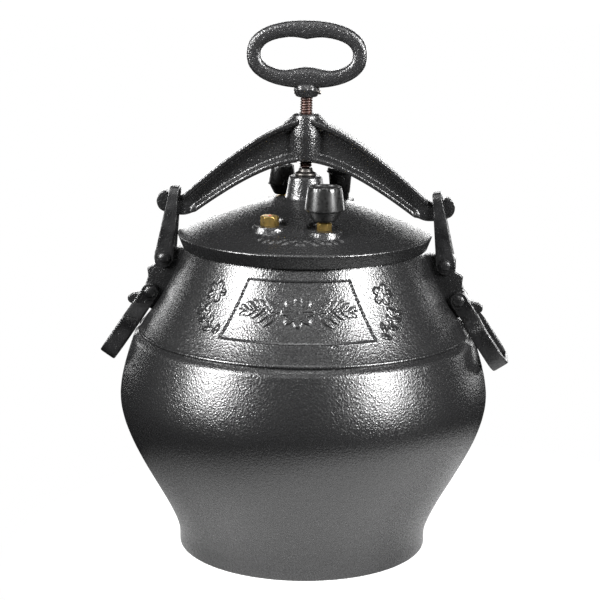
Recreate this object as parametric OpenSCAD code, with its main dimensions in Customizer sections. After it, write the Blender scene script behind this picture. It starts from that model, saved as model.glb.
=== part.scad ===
// Stovetop pressure cooker: belly pot, screwed-down lid, clamp yoke, side links and carrying handles.
// Origin at the centre of the base, +Z up, the clamp yoke along X. All sizes in millimetres.

/* [Pot] */
// Radius of the flat base
base_r = 98.2; // [80:0.1:120]
// Largest outside radius of the belly
belly_r = 144.7; // [125:0.1:175]
// Height of the widest part of the belly
belly_z = 123; // [100:1:140]
// Height of the ridge between belly and shoulder
ridge_z = 175.5; // [155:0.5:200]
// Outside radius at the ridge
ridge_r = 129.5; // [110:0.5:155]
// Outside radius of the neck
neck_r = 92.4; // [75:0.1:115]
// Height of the pot's mouth
mouth_z = 246; // [215:1:290]
// Wall thickness of the casting
wall = 5; // [3:0.5:8]
// Thickness of the base
base_t = 7; // [5:0.5:12]
// Width of the lip inside the neck, down to the mouth's edge
lip_w = 8.4; // [6:0.1:12]

/* [Lid] */
// Height of the lid above the gasket, up to the foot of the boss
lid_rise = 30.4; // [20:0.2:45]
// Gap between the neck and the lid's skirt
skirt_gap = 0.8; // [0.4:0.1:2]
// Thickness of the skirt at its lower edge
skirt_t = 2.1; // [1.5:0.1:5]
// Length of the skirt below the gasket seat
skirt_h = 7.9; // [5:0.1:14]
// Overhang of the rim above the skirt's lower edge
rim_flare = 3.9; // [0:0.1:6]
// Wall of the lid
lid_wall = 5; // [4:0.5:8]
// Thickness of the gasket
gasket_t = 2.6; // [2:0.1:5]
// Radius of the boss at its foot
boss_r = 15.7; // [12:0.1:20]
// Radius of the boss at its top
boss_top_r = 12.8; // [10:0.1:18]
// Height of the boss
boss_h = 17; // [10:0.5:25]

/* [Clamp screw] */
// Radius of the screw
screw_r = 4.9; // [4:0.1:7]
// Radius of the journal that turns in the foot
journal_r = 3; // [2:0.1:3.5]
// Radius of the foot
foot_r = 8.5; // [7:0.1:12]
// Height of the foot
foot_h = 6; // [5:0.5:10]
// Length of the screw between foot and handle
screw_len = 55; // [45:1:80]
// Running clearance on radius
run_gap = 0.05; // [0.02:0.01:0.09]
// Half width of the ring handle
ring_half_w = 46.5; // [35:0.5:60]
// Height of the ring handle
ring_h = 51.4; // [44:0.2:70]
// Width of the ring's bar
ring_bar = 12.2; // [9:0.1:14]
// Thickness of the ring front to back
ring_t = 12; // [8:0.5:18]
// Height of the collar under the ring
collar_h = 6.6; // [5:0.2:12]

/* [Yoke] */
// Half width of the yoke's flanges, front to back
flange_half = 11.5; // [8:0.5:14]
// Half thickness of the yoke's web
web_half = 4.5; // [3:0.5:7]
// Thickness of the flanges
flange_t = 4.2; // [3:0.1:6]
// Height of the yoke's boss above the top of the foot
yoke_clear = 6; // [5:0.5:12]
// Height of the yoke's boss
yoke_boss_h = 36.3; // [28:0.1:50]
// Radius of the yoke's boss
yoke_boss_r = 13; // [9:0.5:16]
// Drop from the foot of the yoke's boss to the floor of its notches
yoke_drop = 30.7; // [28:0.1:34]
// Distance of the notch that takes the link's bar, out from the lid's rim
notch_out = 2.8; // [2.6:0.1:12]
// Free height between the notch and the link's bar
notch_play = 5; // [4.8:0.1:8]
// Half thickness of the nose, front to back
nose_half = 5.5; // [4:0.1:6]
// Width of the nose beyond the notch
nose_w = 9.2; // [7:0.1:14]
// Height of the nose above the notch
nose_h = 4.5; // [3:0.1:6]
// Depth of the yoke below the notch
nose_depth = 14.2; // [10:0.1:20]

/* [Ears, links and handles] */
// Half thickness of the ear brackets, front to back
ear_half = 6; // [5:0.1:9]
// Side gap between an ear and the straps beside it
side_gap = 0.5; // [0.3:0.1:1.5]
// Thickness of the link's strap
link_t = 3; // [2.5:0.5:5]
// Link pivot, out from the notch
link_out = 8.3; // [2:0.1:14]
// Link pivot, below the link's bar
link_drop = 52.8; // [40:0.1:70]
// Half width of the link's strap at its bar
link_bar_half = 3.5; // [2.5:0.1:5]
// Thickness of the link's bar
link_bar_t = 3; // [2.5:0.1:5]
// Half width of the link's strap at its pivot
link_eye = 7.5; // [6:0.1:10]
// Radius of the link pins
link_pin_r = 2.5; // [2:0.1:4]
// Handle pivot, out from the link pivot
handle_out = 11; // [6:0.1:20]
// Handle pivot, below the link pivot
handle_drop = 27.5; // [20:0.1:40]
// Length of a handle from pivot to end
handle_len = 62; // [50:1:85]
// Width of the handle's strap
handle_w = 13.4; // [10:0.1:18]
// Thickness of the handle's strap
handle_t = 4; // [3:0.5:5]
// Half width of a handle's loop, front to back
loop_half = 21; // [17:0.5:28]
// Outer radius of the loop's two corners
loop_corner = 12; // [8:0.5:14]
// Distance from the handle's pivot to the bend where its arms spread
spread_at = 14; // [12:0.5:18]
// Length over which the arms spread
spread_len = 12; // [10:0.5:16]
// Gap between a hanging handle and the pot
handle_gap = 0.6; // [0.4:0.1:3]
// Radius of the handle pins
handle_pin_r = 3; // [2:0.1:4]
// Radius of the screws that hold the ears
ear_screw_r = 2.5; // [2:0.1:2.8]

/* [Lid fittings] */
// Radius of the flat seats cast for the fittings
seat_r = 13; // [11:0.5:16]
// Distance of the regulator inside the mouth's edge
regulator_in = 16.5; // [15:0.1:22]
// Distance of the safety plug inside the mouth's edge
plug_in = 21.2; // [15:0.1:28]
// Distance of the relief valve inside the mouth's edge
relief_in = 37.5; // [30:0.1:40]
// Distance of the knob inside the mouth's edge
knob_in = 37.3; // [30:0.1:40]
// Largest radius of the regulator's weight
regulator_r = 14.9; // [11:0.1:18]
// Height of the regulator's cap
regulator_cap_h = 18; // [12:0.5:26]
// Largest radius of the relief valve's weight
relief_r = 11.8; // [9:0.1:15]
// Height of the relief valve's cap
relief_cap_h = 15.5; // [10:0.5:22]
// Height of the flare below each cap
flare_h = 8; // [5:0.5:12]
// Radius of the steam nozzles
nozzle_r = 2.2; // [1.5:0.1:3]
// Radius of the regulator nozzle's hexagon across its corners
regulator_hex_r = 5.5; // [4.5:0.1:8]
// Height of the regulator nozzle's hexagon
regulator_hex_h = 6; // [3:0.5:10]
// Radius of the relief nozzle's hexagon across its corners
relief_hex_r = 5; // [4.5:0.1:5.6]
// Height of the relief nozzle's hexagon
relief_hex_h = 1.5; // [1:0.5:6]
// Length of a nozzle's tip above its hexagon
tip_h = 15; // [10:0.5:20]
// Radius of the safety plug across its corners
plug_r = 7; // [6:0.1:9]
// Height of the safety plug's hexagon
plug_h = 7.4; // [5:0.2:12]
// Thickness of the washers under the lid's nuts
washer_t = 1.5; // [1:0.1:3]
// Top radius of the lid knob
knob_r = 10.9; // [9:0.1:14]
// Height of the lid knob
knob_h = 25; // [18:0.5:35]

/* [Hidden] */
cast_black = [0.13, 0.13, 0.14];
steel_black = [0.09, 0.09, 0.1];
black_plastic = [0.05, 0.05, 0.05];
brass = [0.78, 0.6, 0.22];
steel = [0.55, 0.53, 0.5];
$fn = 96;
curve_steps = 14;

// Heights that stack up from the pot's mouth
mouth_r = neck_r - lip_w;
seat_z = mouth_z + gasket_t;
skirt_in = neck_r + skirt_gap;
skirt_z = seat_z - skirt_h;
rim_r = skirt_in + skirt_t + rim_flare;
rim_z = seat_z + 3.2;
boss_z = seat_z + lid_rise;
boss_top = boss_z + boss_h;
foot_top = boss_top + foot_h;
yoke_z = foot_top + yoke_clear;
yoke_top = yoke_z + yoke_boss_h;
collar_z = foot_top + screw_len;
ring_z = collar_z + collar_h;
ring_mid = ring_z + ring_h / 2;

// The notch lies below the yoke's boss and clear of the lid, and the link's bar above it
notch_x = rim_r + notch_out;
notch_z = yoke_z - yoke_drop;
bar_z = notch_z + notch_play;
strap_in = ear_half + side_gap;
// Room between the link's bar and the nose beyond it
nose_gap = 1.4;
link_z = bar_z - link_drop;
handle_z = link_z - handle_drop;

// A point and a direction on a quadratic curve, and a point on a cubic one
function quad(a, b, c, t) = (1 - t) * (1 - t) * a + 2 * t * (1 - t) * b + t * t * c;
function quad_dir(a, b, c, t) = 2 * (1 - t) * (b - a) + 2 * t * (c - b);
function cubic(a, b, c, d, t) =
    pow(1 - t, 3) * a + 3 * t * pow(1 - t, 2) * b + 3 * t * t * (1 - t) * c + pow(t, 3) * d;
function unit(v) = v / norm(v);
function inward(d) = unit([-d[1], d[0]]);
function quad_line(a, b, c, off = 0) = [
    for (i = [0:curve_steps]) let (t = i / curve_steps)
        quad(a, b, c, t) + off * inward(quad_dir(a, b, c, t))
];
function cubic_dir(a, b, c, d, t) = cubic(a, b, c, d, t + 0.01) - cubic(a, b, c, d, t - 0.01);
function cubic_line(a, b, c, d, off = 0) = [
    for (i = [0:curve_steps]) let (t = i / curve_steps)
        cubic(a, b, c, d, t) + off * inward(cubic_dir(a, b, c, d, t))
];
function arc(c, r, a0, a1, n = 6) = [
    for (i = [0:n]) let (a = a0 + (a1 - a0) * i / n) c + r * [cos(a), sin(a)]
];
function flip(v) = [for (i = [len(v) - 1:-1:0]) v[i]];

// Control points of the belly, its rounded top and the shoulder, as [radius, height]
foot_edge = [base_r, 8];
belly_mid = [belly_r, belly_z];
belly_end = [ridge_r + 4.3, ridge_z - 5.5];
shoulder_foot = [ridge_r - 0.7, ridge_z + 1.9];
shoulder_bend = [ridge_r - 21, ridge_z + 24.8];
shoulder_top = [neck_r, mouth_z - 6];

function lower_belly(off = 0) =
    cubic_line(foot_edge, foot_edge + [0, 26.3], belly_mid - [0, 38.4], belly_mid, off);
function upper_belly(off = 0) =
    cubic_line(belly_mid, belly_mid + [0, 14], belly_end + [4.6, -14], belly_end, off);
function shoulder(off = 0) = quad_line(shoulder_foot, shoulder_bend, shoulder_top, off);

// Radius of the shoulder at a height, by bisection on its curve
function shoulder_t(z, a = 0, b = 1, n = 24) =
    n == 0 ? (a + b) / 2
    : quad(shoulder_foot, shoulder_bend, shoulder_top, (a + b) / 2)[1] < z
        ? shoulder_t(z, (a + b) / 2, b, n - 1)
        : shoulder_t(z, a, (a + b) / 2, n - 1);
function shoulder_r(z) = quad(shoulder_foot, shoulder_bend, shoulder_top, shoulder_t(z))[0];

// Both pivots stand off the shoulder by at least this much
link_clear = 13;
handle_clear = 10;
link_x = max(notch_x + link_out, shoulder_r(link_z) + link_clear);
handle_x = max(link_x + handle_out, shoulder_r(handle_z) + handle_clear);

function pot_outside() = concat(
    [[base_r - 1.5, 0], [base_r, 1.5]],
    lower_belly(),
    upper_belly(),
    [[ridge_r + 1.4, ridge_z - 3]],
    arc([ridge_r - 0.9, ridge_z], 1.6, -60, 70),
    shoulder(),
    [[neck_r, mouth_z]]
);

function pot_inside() = concat(
    [[0, base_t], [base_r - wall - 6, base_t], [base_r - wall, base_t + 5]],
    lower_belly(wall),
    upper_belly(wall),
    [for (p = shoulder(wall)) if (p[0] > mouth_r + 1) p],
    [[mouth_r, mouth_z - 8], [mouth_r, mouth_z + 1], [0, mouth_z + 1]]
);

// A hanging handle rests just clear of the pot: the steepest angle that keeps its strap off the belly
function hang_over(p) = let (d = [p[0] - handle_x, handle_z - p[1]])
    atan2(d[0], d[1]) + asin((handle_w / 2 + handle_gap) / norm(d));
handle_hang = max([
    for (p = concat(upper_belly(), [[ridge_r + 0.7, ridge_z]], shoulder()))
        if (p[1] < handle_z - 5 && norm(p - [handle_x, handle_z]) < handle_len + 5) hang_over(p)
]);

// Where the ear screws cross the shoulder, as shares of its curve
ear_screw_shares = [0.5, 0.75];
ear_screw_depth = 8;
pin_room = 1;
// Depth of an ear screw: as stated, or less where its end would come near a pin
function ear_screw_end(t) = min([ear_screw_depth, for (pin = [
    [link_x, link_z, link_pin_r + pin_room], [handle_x, handle_z, handle_pin_r + pin_room]
]) let (
    d = unit(quad_dir(shoulder_foot, shoulder_bend, shoulder_top, t)),
    to_pin = [pin[0], pin[1]] - quad(shoulder_foot, shoulder_bend, shoulder_top, t),
    ahead = to_pin * [d[1], -d[0]],
    beside = max(0, abs(to_pin * d) - ear_screw_r)
) if (beside < pin[2]) ahead - sqrt(pin[2] * pin[2] - beside * beside)]);

// Fitting places on the lid, and the height of each cast seat
function inside_mouth(in, angle) = (mouth_r - in) * [cos(angle), sin(angle)];
regulator_at = inside_mouth(regulator_in, -72.8);
plug_at = inside_mouth(plug_in, -109.9);
relief_at = inside_mouth(relief_in, 118.2);
knob_at = inside_mouth(knob_in, 59);
lid_bend = [(boss_r + rim_r) / 2 + 1, boss_z - 8.4];
lid_edge = [rim_r - 1, rim_z];
lid_peak = [boss_r, boss_z];
// Height of the lid's outside at a radius, by bisection on its curve
function lid_t(r, a = 0, b = 1, n = 24) =
    n == 0 ? (a + b) / 2
    : quad(lid_edge, lid_bend, lid_peak, (a + b) / 2)[0] > r ? lid_t(r, (a + b) / 2, b, n - 1)
    : lid_t(r, a, (a + b) / 2, n - 1);
function lid_height(p) = quad(lid_edge, lid_bend, lid_peak, lid_t(norm(p)))[1];
function seat_top(p) = lid_height(p) + 0.4;
seat_deep = 8;
// Pocket faced below each seat for its nut: depth, and how much narrower than the seat
pocket_deep = 16;
pocket_in = 2;

nut_h = 4;
nozzle_nut_r = 8;
plug_nut_r = 9;
regulator_foot_r = 8.5;
relief_foot_r = 6;
plug_bore_r = 3.2;
nozzle_shank_r = 4.2;
plug_shank_r = 4.8;
// Wall of a cap round the weight's neck, and how much each cap narrows to its top
cap_wall = 5;
regulator_taper = 2.5;
relief_taper = 2.6;
// A weight stands this far above its nozzle's hexagon, and its neck ends this far short of the tip
weight_lift = 1;
neck_short = 6;
knob_screw_r = 3;
fit_gap = 0.05;

module at(p, z) {
    translate([p[0], p[1], z]) children();
}

module both_sides(side) {
    mirror([side < 0 ? 1 : 0, 0, 0]) children();
}

// A shape drawn in [x, z] and given a thickness along Y, centred on y = 0
module slab(half) {
    rotate([90, 0, 0]) translate([0, 0, -half]) linear_extrude(2 * half) children();
}

module y_pin(x, z, r, half) {
    translate([x, 0, z]) rotate([90, 0, 0]) cylinder(r = r, h = 2 * half, center = true, $fn = 48);
}

module hex_nut(r, h, bore_r) {
    difference() {
        cylinder(r = r, h = h, $fn = 6);
        translate([0, 0, -1]) cylinder(r = bore_r, h = h + 2, $fn = 48);
    }
}

// Carries a shape drawn along +Z to an ear screw's place, square to the shoulder
module at_ear_screw(t) {
    p = quad(shoulder_foot, shoulder_bend, shoulder_top, t);
    d = quad_dir(shoulder_foot, shoulder_bend, shoulder_top, t);
    translate([p[0], 0, p[1]]) rotate([0, 90 - atan2(-d[0], d[1]), 0]) children();
}

module ear_screw_holes(r) {
    for (t = ear_screw_shares) {
        at_ear_screw(t) translate([0, 0, -wall - 4])
            cylinder(r = r, h = wall + 4 + ear_screw_end(t), $fn = 32);
    }
}

module pot_body() {
    color(cast_black) difference() {
        rotate_extrude($fn = 128) difference() {
            polygon(concat([[0, 0]], pot_outside(), [[0, mouth_z]]));
            polygon(pot_inside());
        }
        for (side = [-1, 1]) {
            both_sides(side) ear_screw_holes(ear_screw_r + fit_gap);
        }
    }
}

module lid_bores(extra) {
    at(regulator_at, 0) cylinder(r = nozzle_shank_r + extra, h = 400, $fn = 48);
    at(relief_at, 0) cylinder(r = nozzle_shank_r + extra, h = 400, $fn = 48);
    at(plug_at, 0) cylinder(r = plug_shank_r + extra, h = 400, $fn = 48);
    at(knob_at, 0) cylinder(r = knob_screw_r + extra, h = 400, $fn = 48);
}

module lid() {
    inner = quad_line([mouth_r - 1, seat_z], lid_bend - [4, lid_wall], [boss_r - 2, boss_z - lid_wall]);
    color(cast_black) difference() {
        union() {
            rotate_extrude($fn = 128) polygon(concat(
                [[skirt_in, seat_z], [skirt_in, skirt_z], [skirt_in + skirt_t - 0.4, skirt_z]],
                [[skirt_in + skirt_t, skirt_z + 0.4], [rim_r, rim_z - 1]],
                quad_line(lid_edge, lid_bend, lid_peak),
                [[boss_r - 0.6, boss_z + 2], [boss_top_r + 0.2, boss_top - 1.6]],
                arc([boss_top_r - 1.5, boss_top - 1.5], 1.5, 0, 90, 4),
                [[0, boss_top], [0, boss_z - lid_wall]],
                flip(inner)
            ));
            for (p = [regulator_at, plug_at, relief_at, knob_at]) {
                at(p, seat_top(p) - seat_deep) cylinder(r = seat_r, h = seat_deep);
            }
        }
        for (p = [regulator_at, plug_at]) {
            at(p, seat_top(p)) cylinder(r = seat_r, h = 20);
        }
        for (p = [relief_at, knob_at]) {
            at(p, seat_top(p)) cylinder(r = seat_r - 1, h = 20);
        }
        for (p = [regulator_at, plug_at, relief_at, knob_at]) {
            at(p, seat_top(p) - seat_deep - pocket_deep) cylinder(r = seat_r - pocket_in, h = pocket_deep);
        }
        lid_bores(fit_gap);
    }
}

module lid_gasket() {
    color([0.35, 0.1, 0.08]) translate([0, 0, mouth_z]) difference() {
        cylinder(r = neck_r - 0.4, h = gasket_t, $fn = 128);
        translate([0, 0, -1]) cylinder(r = mouth_r + 0.5, h = gasket_t + 2, $fn = 128);
    }
}

// Outline of an ear in [x, z]: lobe over the link pivot, lip, handle pivot and outer horn
module ear_outline() {
    lobe = link_x + link_eye + 0.2;
    top = link_z + link_eye;
    polygon(concat(
        [[neck_r - 6, top]],
        arc([lobe - 5, top - 5], 5, 90, 0),
        [[lobe, link_z - 5.5], [handle_x + 2.7, link_z - 9], [handle_x + 1.9, handle_z + 11.9]],
        [[handle_x + 4.5, handle_z + 4.5], [handle_x + 9, handle_z - 1.2]],
        arc([handle_x + 14.5, handle_z - 6.7], 4.1, 75, -110, 8),
        [[handle_x + 7, handle_z - 11], [handle_x - 1, handle_z - 15], [handle_x - 24, handle_z - 15]]
    ));
}

module ear(side) {
    color(cast_black) both_sides(side) difference() {
        slab(ear_half) ear_outline();
        rotate_extrude($fn = 128) polygon(concat([[0, 0]], pot_outside(), [[0, mouth_z]]));
        translate([0, 0, skirt_z - 0.8]) cylinder(r = rim_r + 0.8, h = 40);
        y_pin(link_x, link_z, link_pin_r + run_gap, ear_half + 1);
        y_pin(handle_x, handle_z, handle_pin_r + run_gap, ear_half + 1);
        ear_screw_holes(ear_screw_r + fit_gap);
    }
}

module ear_screws(side) {
    color(steel) both_sides(side) for (t = ear_screw_shares) {
        at_ear_screw(t) {
            translate([0, 0, -wall - 0.25])
                cylinder(r = ear_screw_r, h = wall + ear_screw_end(t) - 0.5, $fn = 32);
            translate([0, 0, -wall - 3]) cylinder(r = ear_screw_r + 2, h = 2.75, $fn = 32);
        }
    }
}

module link(side) {
    outer = strap_in + link_t;
    bar_top = bar_z + link_bar_t;
    color(steel_black) both_sides(side) difference() {
        slab(outer) polygon(concat(
            [[notch_x - link_bar_half, bar_top], [notch_x + link_bar_half, bar_top]],
            arc([link_x, link_z], link_eye, 10, -190, 20)
        ));
        translate([notch_x - 40, -strap_in, link_z - 20]) cube([80, 2 * strap_in, bar_z - link_z + 20]);
        y_pin(link_x, link_z, link_pin_r + run_gap, outer + 1);
    }
}

// A pin through the ear and both straps, with a domed head on each end
module headed_pin(side, x, z, r, head_r, half) {
    color(steel_black) both_sides(side) {
        y_pin(x, z, r, half + 0.4);
        for (face = [-90, 90]) {
            translate([x, 0, z]) rotate([face, 0, 0]) translate([0, 0, half + 0.3])
                rotate_extrude($fn = 48) polygon(concat(
                    [[0, 0], [head_r, 0]],
                    [for (a = [0:15:90]) [head_r * cos(a), 0.4 + 2 * sin(a)]]
                ));
        }
    }
}

// One edge of a handle's strap from the eye down to the middle of the grip, as [down, front to back]
function strap_edge(in, shift, corner) = concat(
    [[-20, strap_in + handle_t - in], [spread_at + shift, strap_in + handle_t - in]],
    [[spread_at + spread_len + shift, loop_half - in]],
    flip(arc([handle_len - loop_corner, loop_half - loop_corner], corner, 0, 90, 8))
);
function far_side(v) = [for (p = flip(v)) [p[0], -p[1]]];

module handle(side) {
    turn = atan2(loop_half - strap_in - handle_t, spread_len);
    shift = handle_t * tan(turn / 2);
    outer = strap_edge(0, 0, loop_corner);
    inner = strap_edge(handle_t, shift, loop_corner - handle_t);
    color(steel_black) both_sides(side) translate([handle_x, 0, handle_z]) rotate([0, -handle_hang, 0])
        difference() {
            intersection() {
                rotate([0, 90, 0]) linear_extrude(40, center = true)
                    polygon(concat(outer, far_side(outer), flip(far_side(inner)), flip(inner)));
                slab(loop_half + 1) {
                    circle(r = handle_w / 2, $fn = 64);
                    translate([-handle_w / 2, -handle_len - 1]) square([handle_w, handle_len + 1]);
                }
            }
            y_pin(0, 0, handle_pin_r + run_gap, loop_half + 1);
        }
}

// Yoke: one arm's side view is made of a top edge, a bottom edge and the hooked nose
module yoke() {
    z0 = yoke_z;
    bore_edge = screw_r + 1;
    top_a = [yoke_boss_r - 1, z0 + 31];
    top_d = [notch_x - link_bar_half - 2.5, notch_z + 2];
    top_edge = cubic_line(top_a, top_a + [26, -11], top_d + [-34, 30.5], top_d);
    low_a = [yoke_boss_r - 3, z0];
    low_d = [notch_x - 17, notch_z - nose_depth + 3.6];
    low_edge = cubic_line(low_a, low_a + [21, -3.7], low_d + [-25, 18], low_d);
    nose_x = notch_x + link_bar_half + nose_gap;
    end = concat(
        [[notch_x - link_bar_half - 1, notch_z], [nose_x - 0.3, notch_z]],
        arc([nose_x + 3, notch_z + nose_h - 3], 3, 180, 90, 4),
        arc([nose_x + nose_w - 4.6, notch_z + nose_h - 4.6], 4.6, 90, 0, 5),
        arc([nose_x + nose_w - 6.5, notch_z - 6], 6.5, 0, -80, 5)
    );
    lobe = arc([notch_x - 6, notch_z - nose_depth + 7], 7, -60, -125, 4);
    whole = concat(top_edge, end, lobe, flip(low_edge));
    low_strip = concat(low_edge, flip([for (p = low_edge) p + [0.4, 1.15] * flange_t]));
    top_strip = concat(top_edge, flip([for (p = top_edge) p - [0.5, 1.15] * flange_t]));
    color(cast_black) difference() {
        union() {
            for (side = [-1, 1]) {
                both_sides(side) {
                    slab(web_half) polygon(concat([[0, z0], [0, top_a[1]]], whole));
                    slab(flange_half) polygon(top_strip);
                    slab(flange_half) polygon(low_strip);
                    slab(nose_half) polygon(concat(
                        [top_d + [-9, 4], top_d], end, lobe, [low_d, low_d + [-6, 6]]
                    ));
                    slab(flange_half - 4) polygon([
                        [bore_edge, yoke_top - 12], [bore_edge, yoke_top - 1],
                        [yoke_boss_r - 2.5, yoke_top - 1],
                        [yoke_boss_r + 5, yoke_top - 8], [yoke_boss_r + 5, yoke_top - 12]
                    ]);
                }
            }
            translate([0, 0, z0]) cylinder(r = yoke_boss_r, h = yoke_boss_h - 5);
            translate([0, 0, z0 + yoke_boss_h - 5])
                cylinder(r1 = yoke_boss_r, r2 = yoke_boss_r - 2.5, h = 5);
        }
        translate([0, 0, z0 - 1]) cylinder(r = screw_r + run_gap, h = yoke_boss_h + 2, $fn = 64);
    }
}

pin_z = collar_z + 3.4;
pin_r = 1.5;
// Half the pin's length inside the collar, and the end that stands out on the right
pin_half = 9.6;
pin_end = 1.6;
screw_in_handle = 7.5;

module clamp_screw() {
    tip = boss_top + 1;
    color(steel) difference() {
        union() {
            translate([0, 0, foot_top - 3.5]) cylinder(r = journal_r, h = 4, $fn = 48);
            translate([0, 0, tip]) cylinder(r = journal_r, h = foot_h - 3, $fn = 48);
            translate([0, 0, foot_top + 0.3])
                cylinder(r = screw_r, h = screw_len - 0.3 + screw_in_handle, $fn = 64);
        }
        translate([-20, 0, pin_z]) rotate([0, 90, 0]) cylinder(r = pin_r + fit_gap, h = 40, $fn = 32);
    }
}

// Ring handle: an oval hoop on a collar, with a dip over the middle and a hump below it
module screw_handle() {
    a = ring_half_w;
    b = ring_h / 2;
    ai = a - ring_bar;
    bi = b - ring_bar;
    steps = 48;
    e = 0.86;
    oval = [for (i = [0:steps - 1]) let (t = 360 * i / steps)
        [a * sign(cos(t)) * pow(abs(cos(t)), e), b * sign(sin(t)) * pow(abs(sin(t)), e)]];
    hole = [for (i = [0:steps - 1]) let (t = 360 * i / steps, x = ai * sign(cos(t)) * pow(abs(cos(t)), 0.8))
        [x, bi * sign(sin(t)) * pow(abs(sin(t)), 0.75)
            - (sin(t) > 0 ? 2 * pow(max(0, 1 - abs(x) / 14), 1.3)
                : -3.6 * pow(cos(min(90, abs(x) * 4.2)), 2))]];
    color(cast_black) difference() {
        union() {
            translate([0, 0, ring_mid]) {
                slab(ring_t / 2) difference() {
                    polygon([for (p = oval) p * 0.975]);
                    polygon([for (p = hole) [p[0] * 1.03, p[1] * 1.05]]);
                }
                slab(ring_t / 2 - 2) difference() {
                    polygon(oval);
                    polygon(hole);
                }
            }
            translate([0, 0, collar_z]) cylinder(r1 = 8.2, r2 = 10.4, h = collar_h, $fn = 64);
            translate([0, 0, ring_z]) cylinder(r1 = 10.4, r2 = 8, h = 7, $fn = 64);
        }
        translate([0, 0, collar_z - 1]) cylinder(r = screw_r + fit_gap, h = screw_in_handle + 1.3, $fn = 64);
        translate([-20, 0, pin_z]) rotate([0, 90, 0]) cylinder(r = pin_r + fit_gap, h = 40, $fn = 32);
    }
}

module handle_cross_pin() {
    color(steel) translate([-pin_half, 0, pin_z]) rotate([0, 90, 0])
        cylinder(r = pin_r, h = 2 * pin_half + pin_end, $fn = 32);
}

ring_pocket = 2.2;

module screw_foot() {
    color(steel) difference() {
        union() {
            translate([0, 0, boss_top]) cylinder(r = foot_r, h = 2.4, $fn = 64);
            translate([0, 0, boss_top + 2.4])
                cylinder(r1 = foot_r - 0.6, r2 = journal_r + 2.2, h = foot_h - 2.4, $fn = 64);
        }
        translate([0, 0, boss_top - 1]) cylinder(r = journal_r + run_gap, h = foot_h + 2, $fn = 48);
        translate([0, 0, boss_top - 1]) cylinder(r = journal_r + 1.9, h = ring_pocket + 1, $fn = 48);
    }
}

module foot_retaining_ring() {
    color(steel) translate([0, 0, boss_top + 1.1]) difference() {
        cylinder(r = journal_r + 1.5, h = 1, $fn = 48);
        translate([0, 0, -1]) cylinder(r = journal_r + 0.02, h = 3, $fn = 48);
    }
}

// A steam nozzle: threaded shank through the lid, hex, and a bored tip that carries the weight
module nozzle(p, hex_r, hex_h) {
    z = seat_top(p);
    color(brass) at(p, z) difference() {
        union() {
            translate([0, 0, -seat_deep - 7]) cylinder(r = nozzle_shank_r, h = seat_deep + 7.5, $fn = 48);
            cylinder(r = hex_r, h = hex_h, $fn = 6);
            cylinder(r = nozzle_r, h = hex_h + tip_h, $fn = 48);
        }
        translate([0, 0, -30]) cylinder(r = 0.9, h = 80, $fn = 24);
    }
}

// A dead weight that flares from the nozzle to its cap
module weight(p, hex_h, low_r, top_r) {
    z = seat_top(p) + hex_h + weight_lift;
    color(black_plastic) at(p, z) difference() {
        union() {
            cylinder(r1 = low_r, r2 = top_r - 1.2, h = flare_h, $fn = 64);
            cylinder(r = top_r - cap_wall, h = flare_h + tip_h - neck_short, $fn = 64);
        }
        translate([0, 0, -1]) cylinder(r = nozzle_r + 0.08, h = tip_h, $fn = 48);
    }
}

module weight_cap(p, hex_h, top_r, cap_h, taper) {
    z = seat_top(p) + hex_h + weight_lift + flare_h;
    color(black_plastic) at(p, z) difference() {
        cylinder(r1 = top_r, r2 = top_r - taper, h = cap_h, $fn = 64);
        translate([0, 0, -1]) cylinder(r = top_r - cap_wall + fit_gap, h = tip_h - neck_short + 1, $fn = 64);
        translate([0, 0, cap_h - 2]) cylinder(r = top_r - taper - 3, h = 3, $fn = 64);
    }
}

module lid_nut(p, bore_r, r, under) {
    color(brass) at(p, seat_top(p) - seat_deep - under - nut_h) hex_nut(r, nut_h, bore_r + 0.02);
}

module washer(p, bore_r, r) {
    color(black_plastic) at(p, seat_top(p) - seat_deep - washer_t) difference() {
        cylinder(r = r, h = washer_t, $fn = 64);
        translate([0, 0, -1]) cylinder(r = bore_r + 0.1, h = washer_t + 2, $fn = 48);
    }
}

module safety_plug() {
    color(brass) at(plug_at, seat_top(plug_at)) difference() {
        union() {
            translate([0, 0, -seat_deep - 7]) cylinder(r = plug_shank_r, h = seat_deep + 7.5, $fn = 48);
            cylinder(r = plug_r, h = plug_h, $fn = 6);
        }
        translate([0, 0, -30]) cylinder(r = plug_bore_r + fit_gap, h = 60, $fn = 48);
    }
}

module safety_disc() {
    color([0.75, 0.12, 0.08]) at(plug_at, seat_top(plug_at) + 1)
        cylinder(r = plug_bore_r, h = plug_h - 0.8, $fn = 48);
}

module lid_knob() {
    z = seat_top(knob_at);
    color(black_plastic) at(knob_at, z) difference() {
        union() {
            cylinder(r = 7.2, h = 5, $fn = 64);
            translate([0, 0, 5]) cylinder(r1 = 7.7, r2 = knob_r - 1.6, h = knob_h - 9, $fn = 64);
            translate([0, 0, knob_h - 4]) cylinder(r = knob_r, h = 3, $fn = 64);
            translate([0, 0, knob_h - 1]) cylinder(r1 = knob_r, r2 = knob_r - 1, h = 1, $fn = 64);
        }
        translate([0, 0, -1]) cylinder(r = knob_screw_r + fit_gap, h = 13, $fn = 48);
    }
}

module lid_knob_screw() {
    z = seat_top(knob_at);
    color(steel) at(knob_at, z - seat_deep) {
        cylinder(r = knob_screw_r, h = seat_deep + 11.5, $fn = 48);
        translate([0, 0, -3]) cylinder(r = 6, h = 3, $fn = 48);
    }
}

link_half = strap_in + link_t;
handle_half = strap_in + handle_t;
link_head_r = link_pin_r + 1.5;
handle_head_r = handle_pin_r + 1.6;

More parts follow.
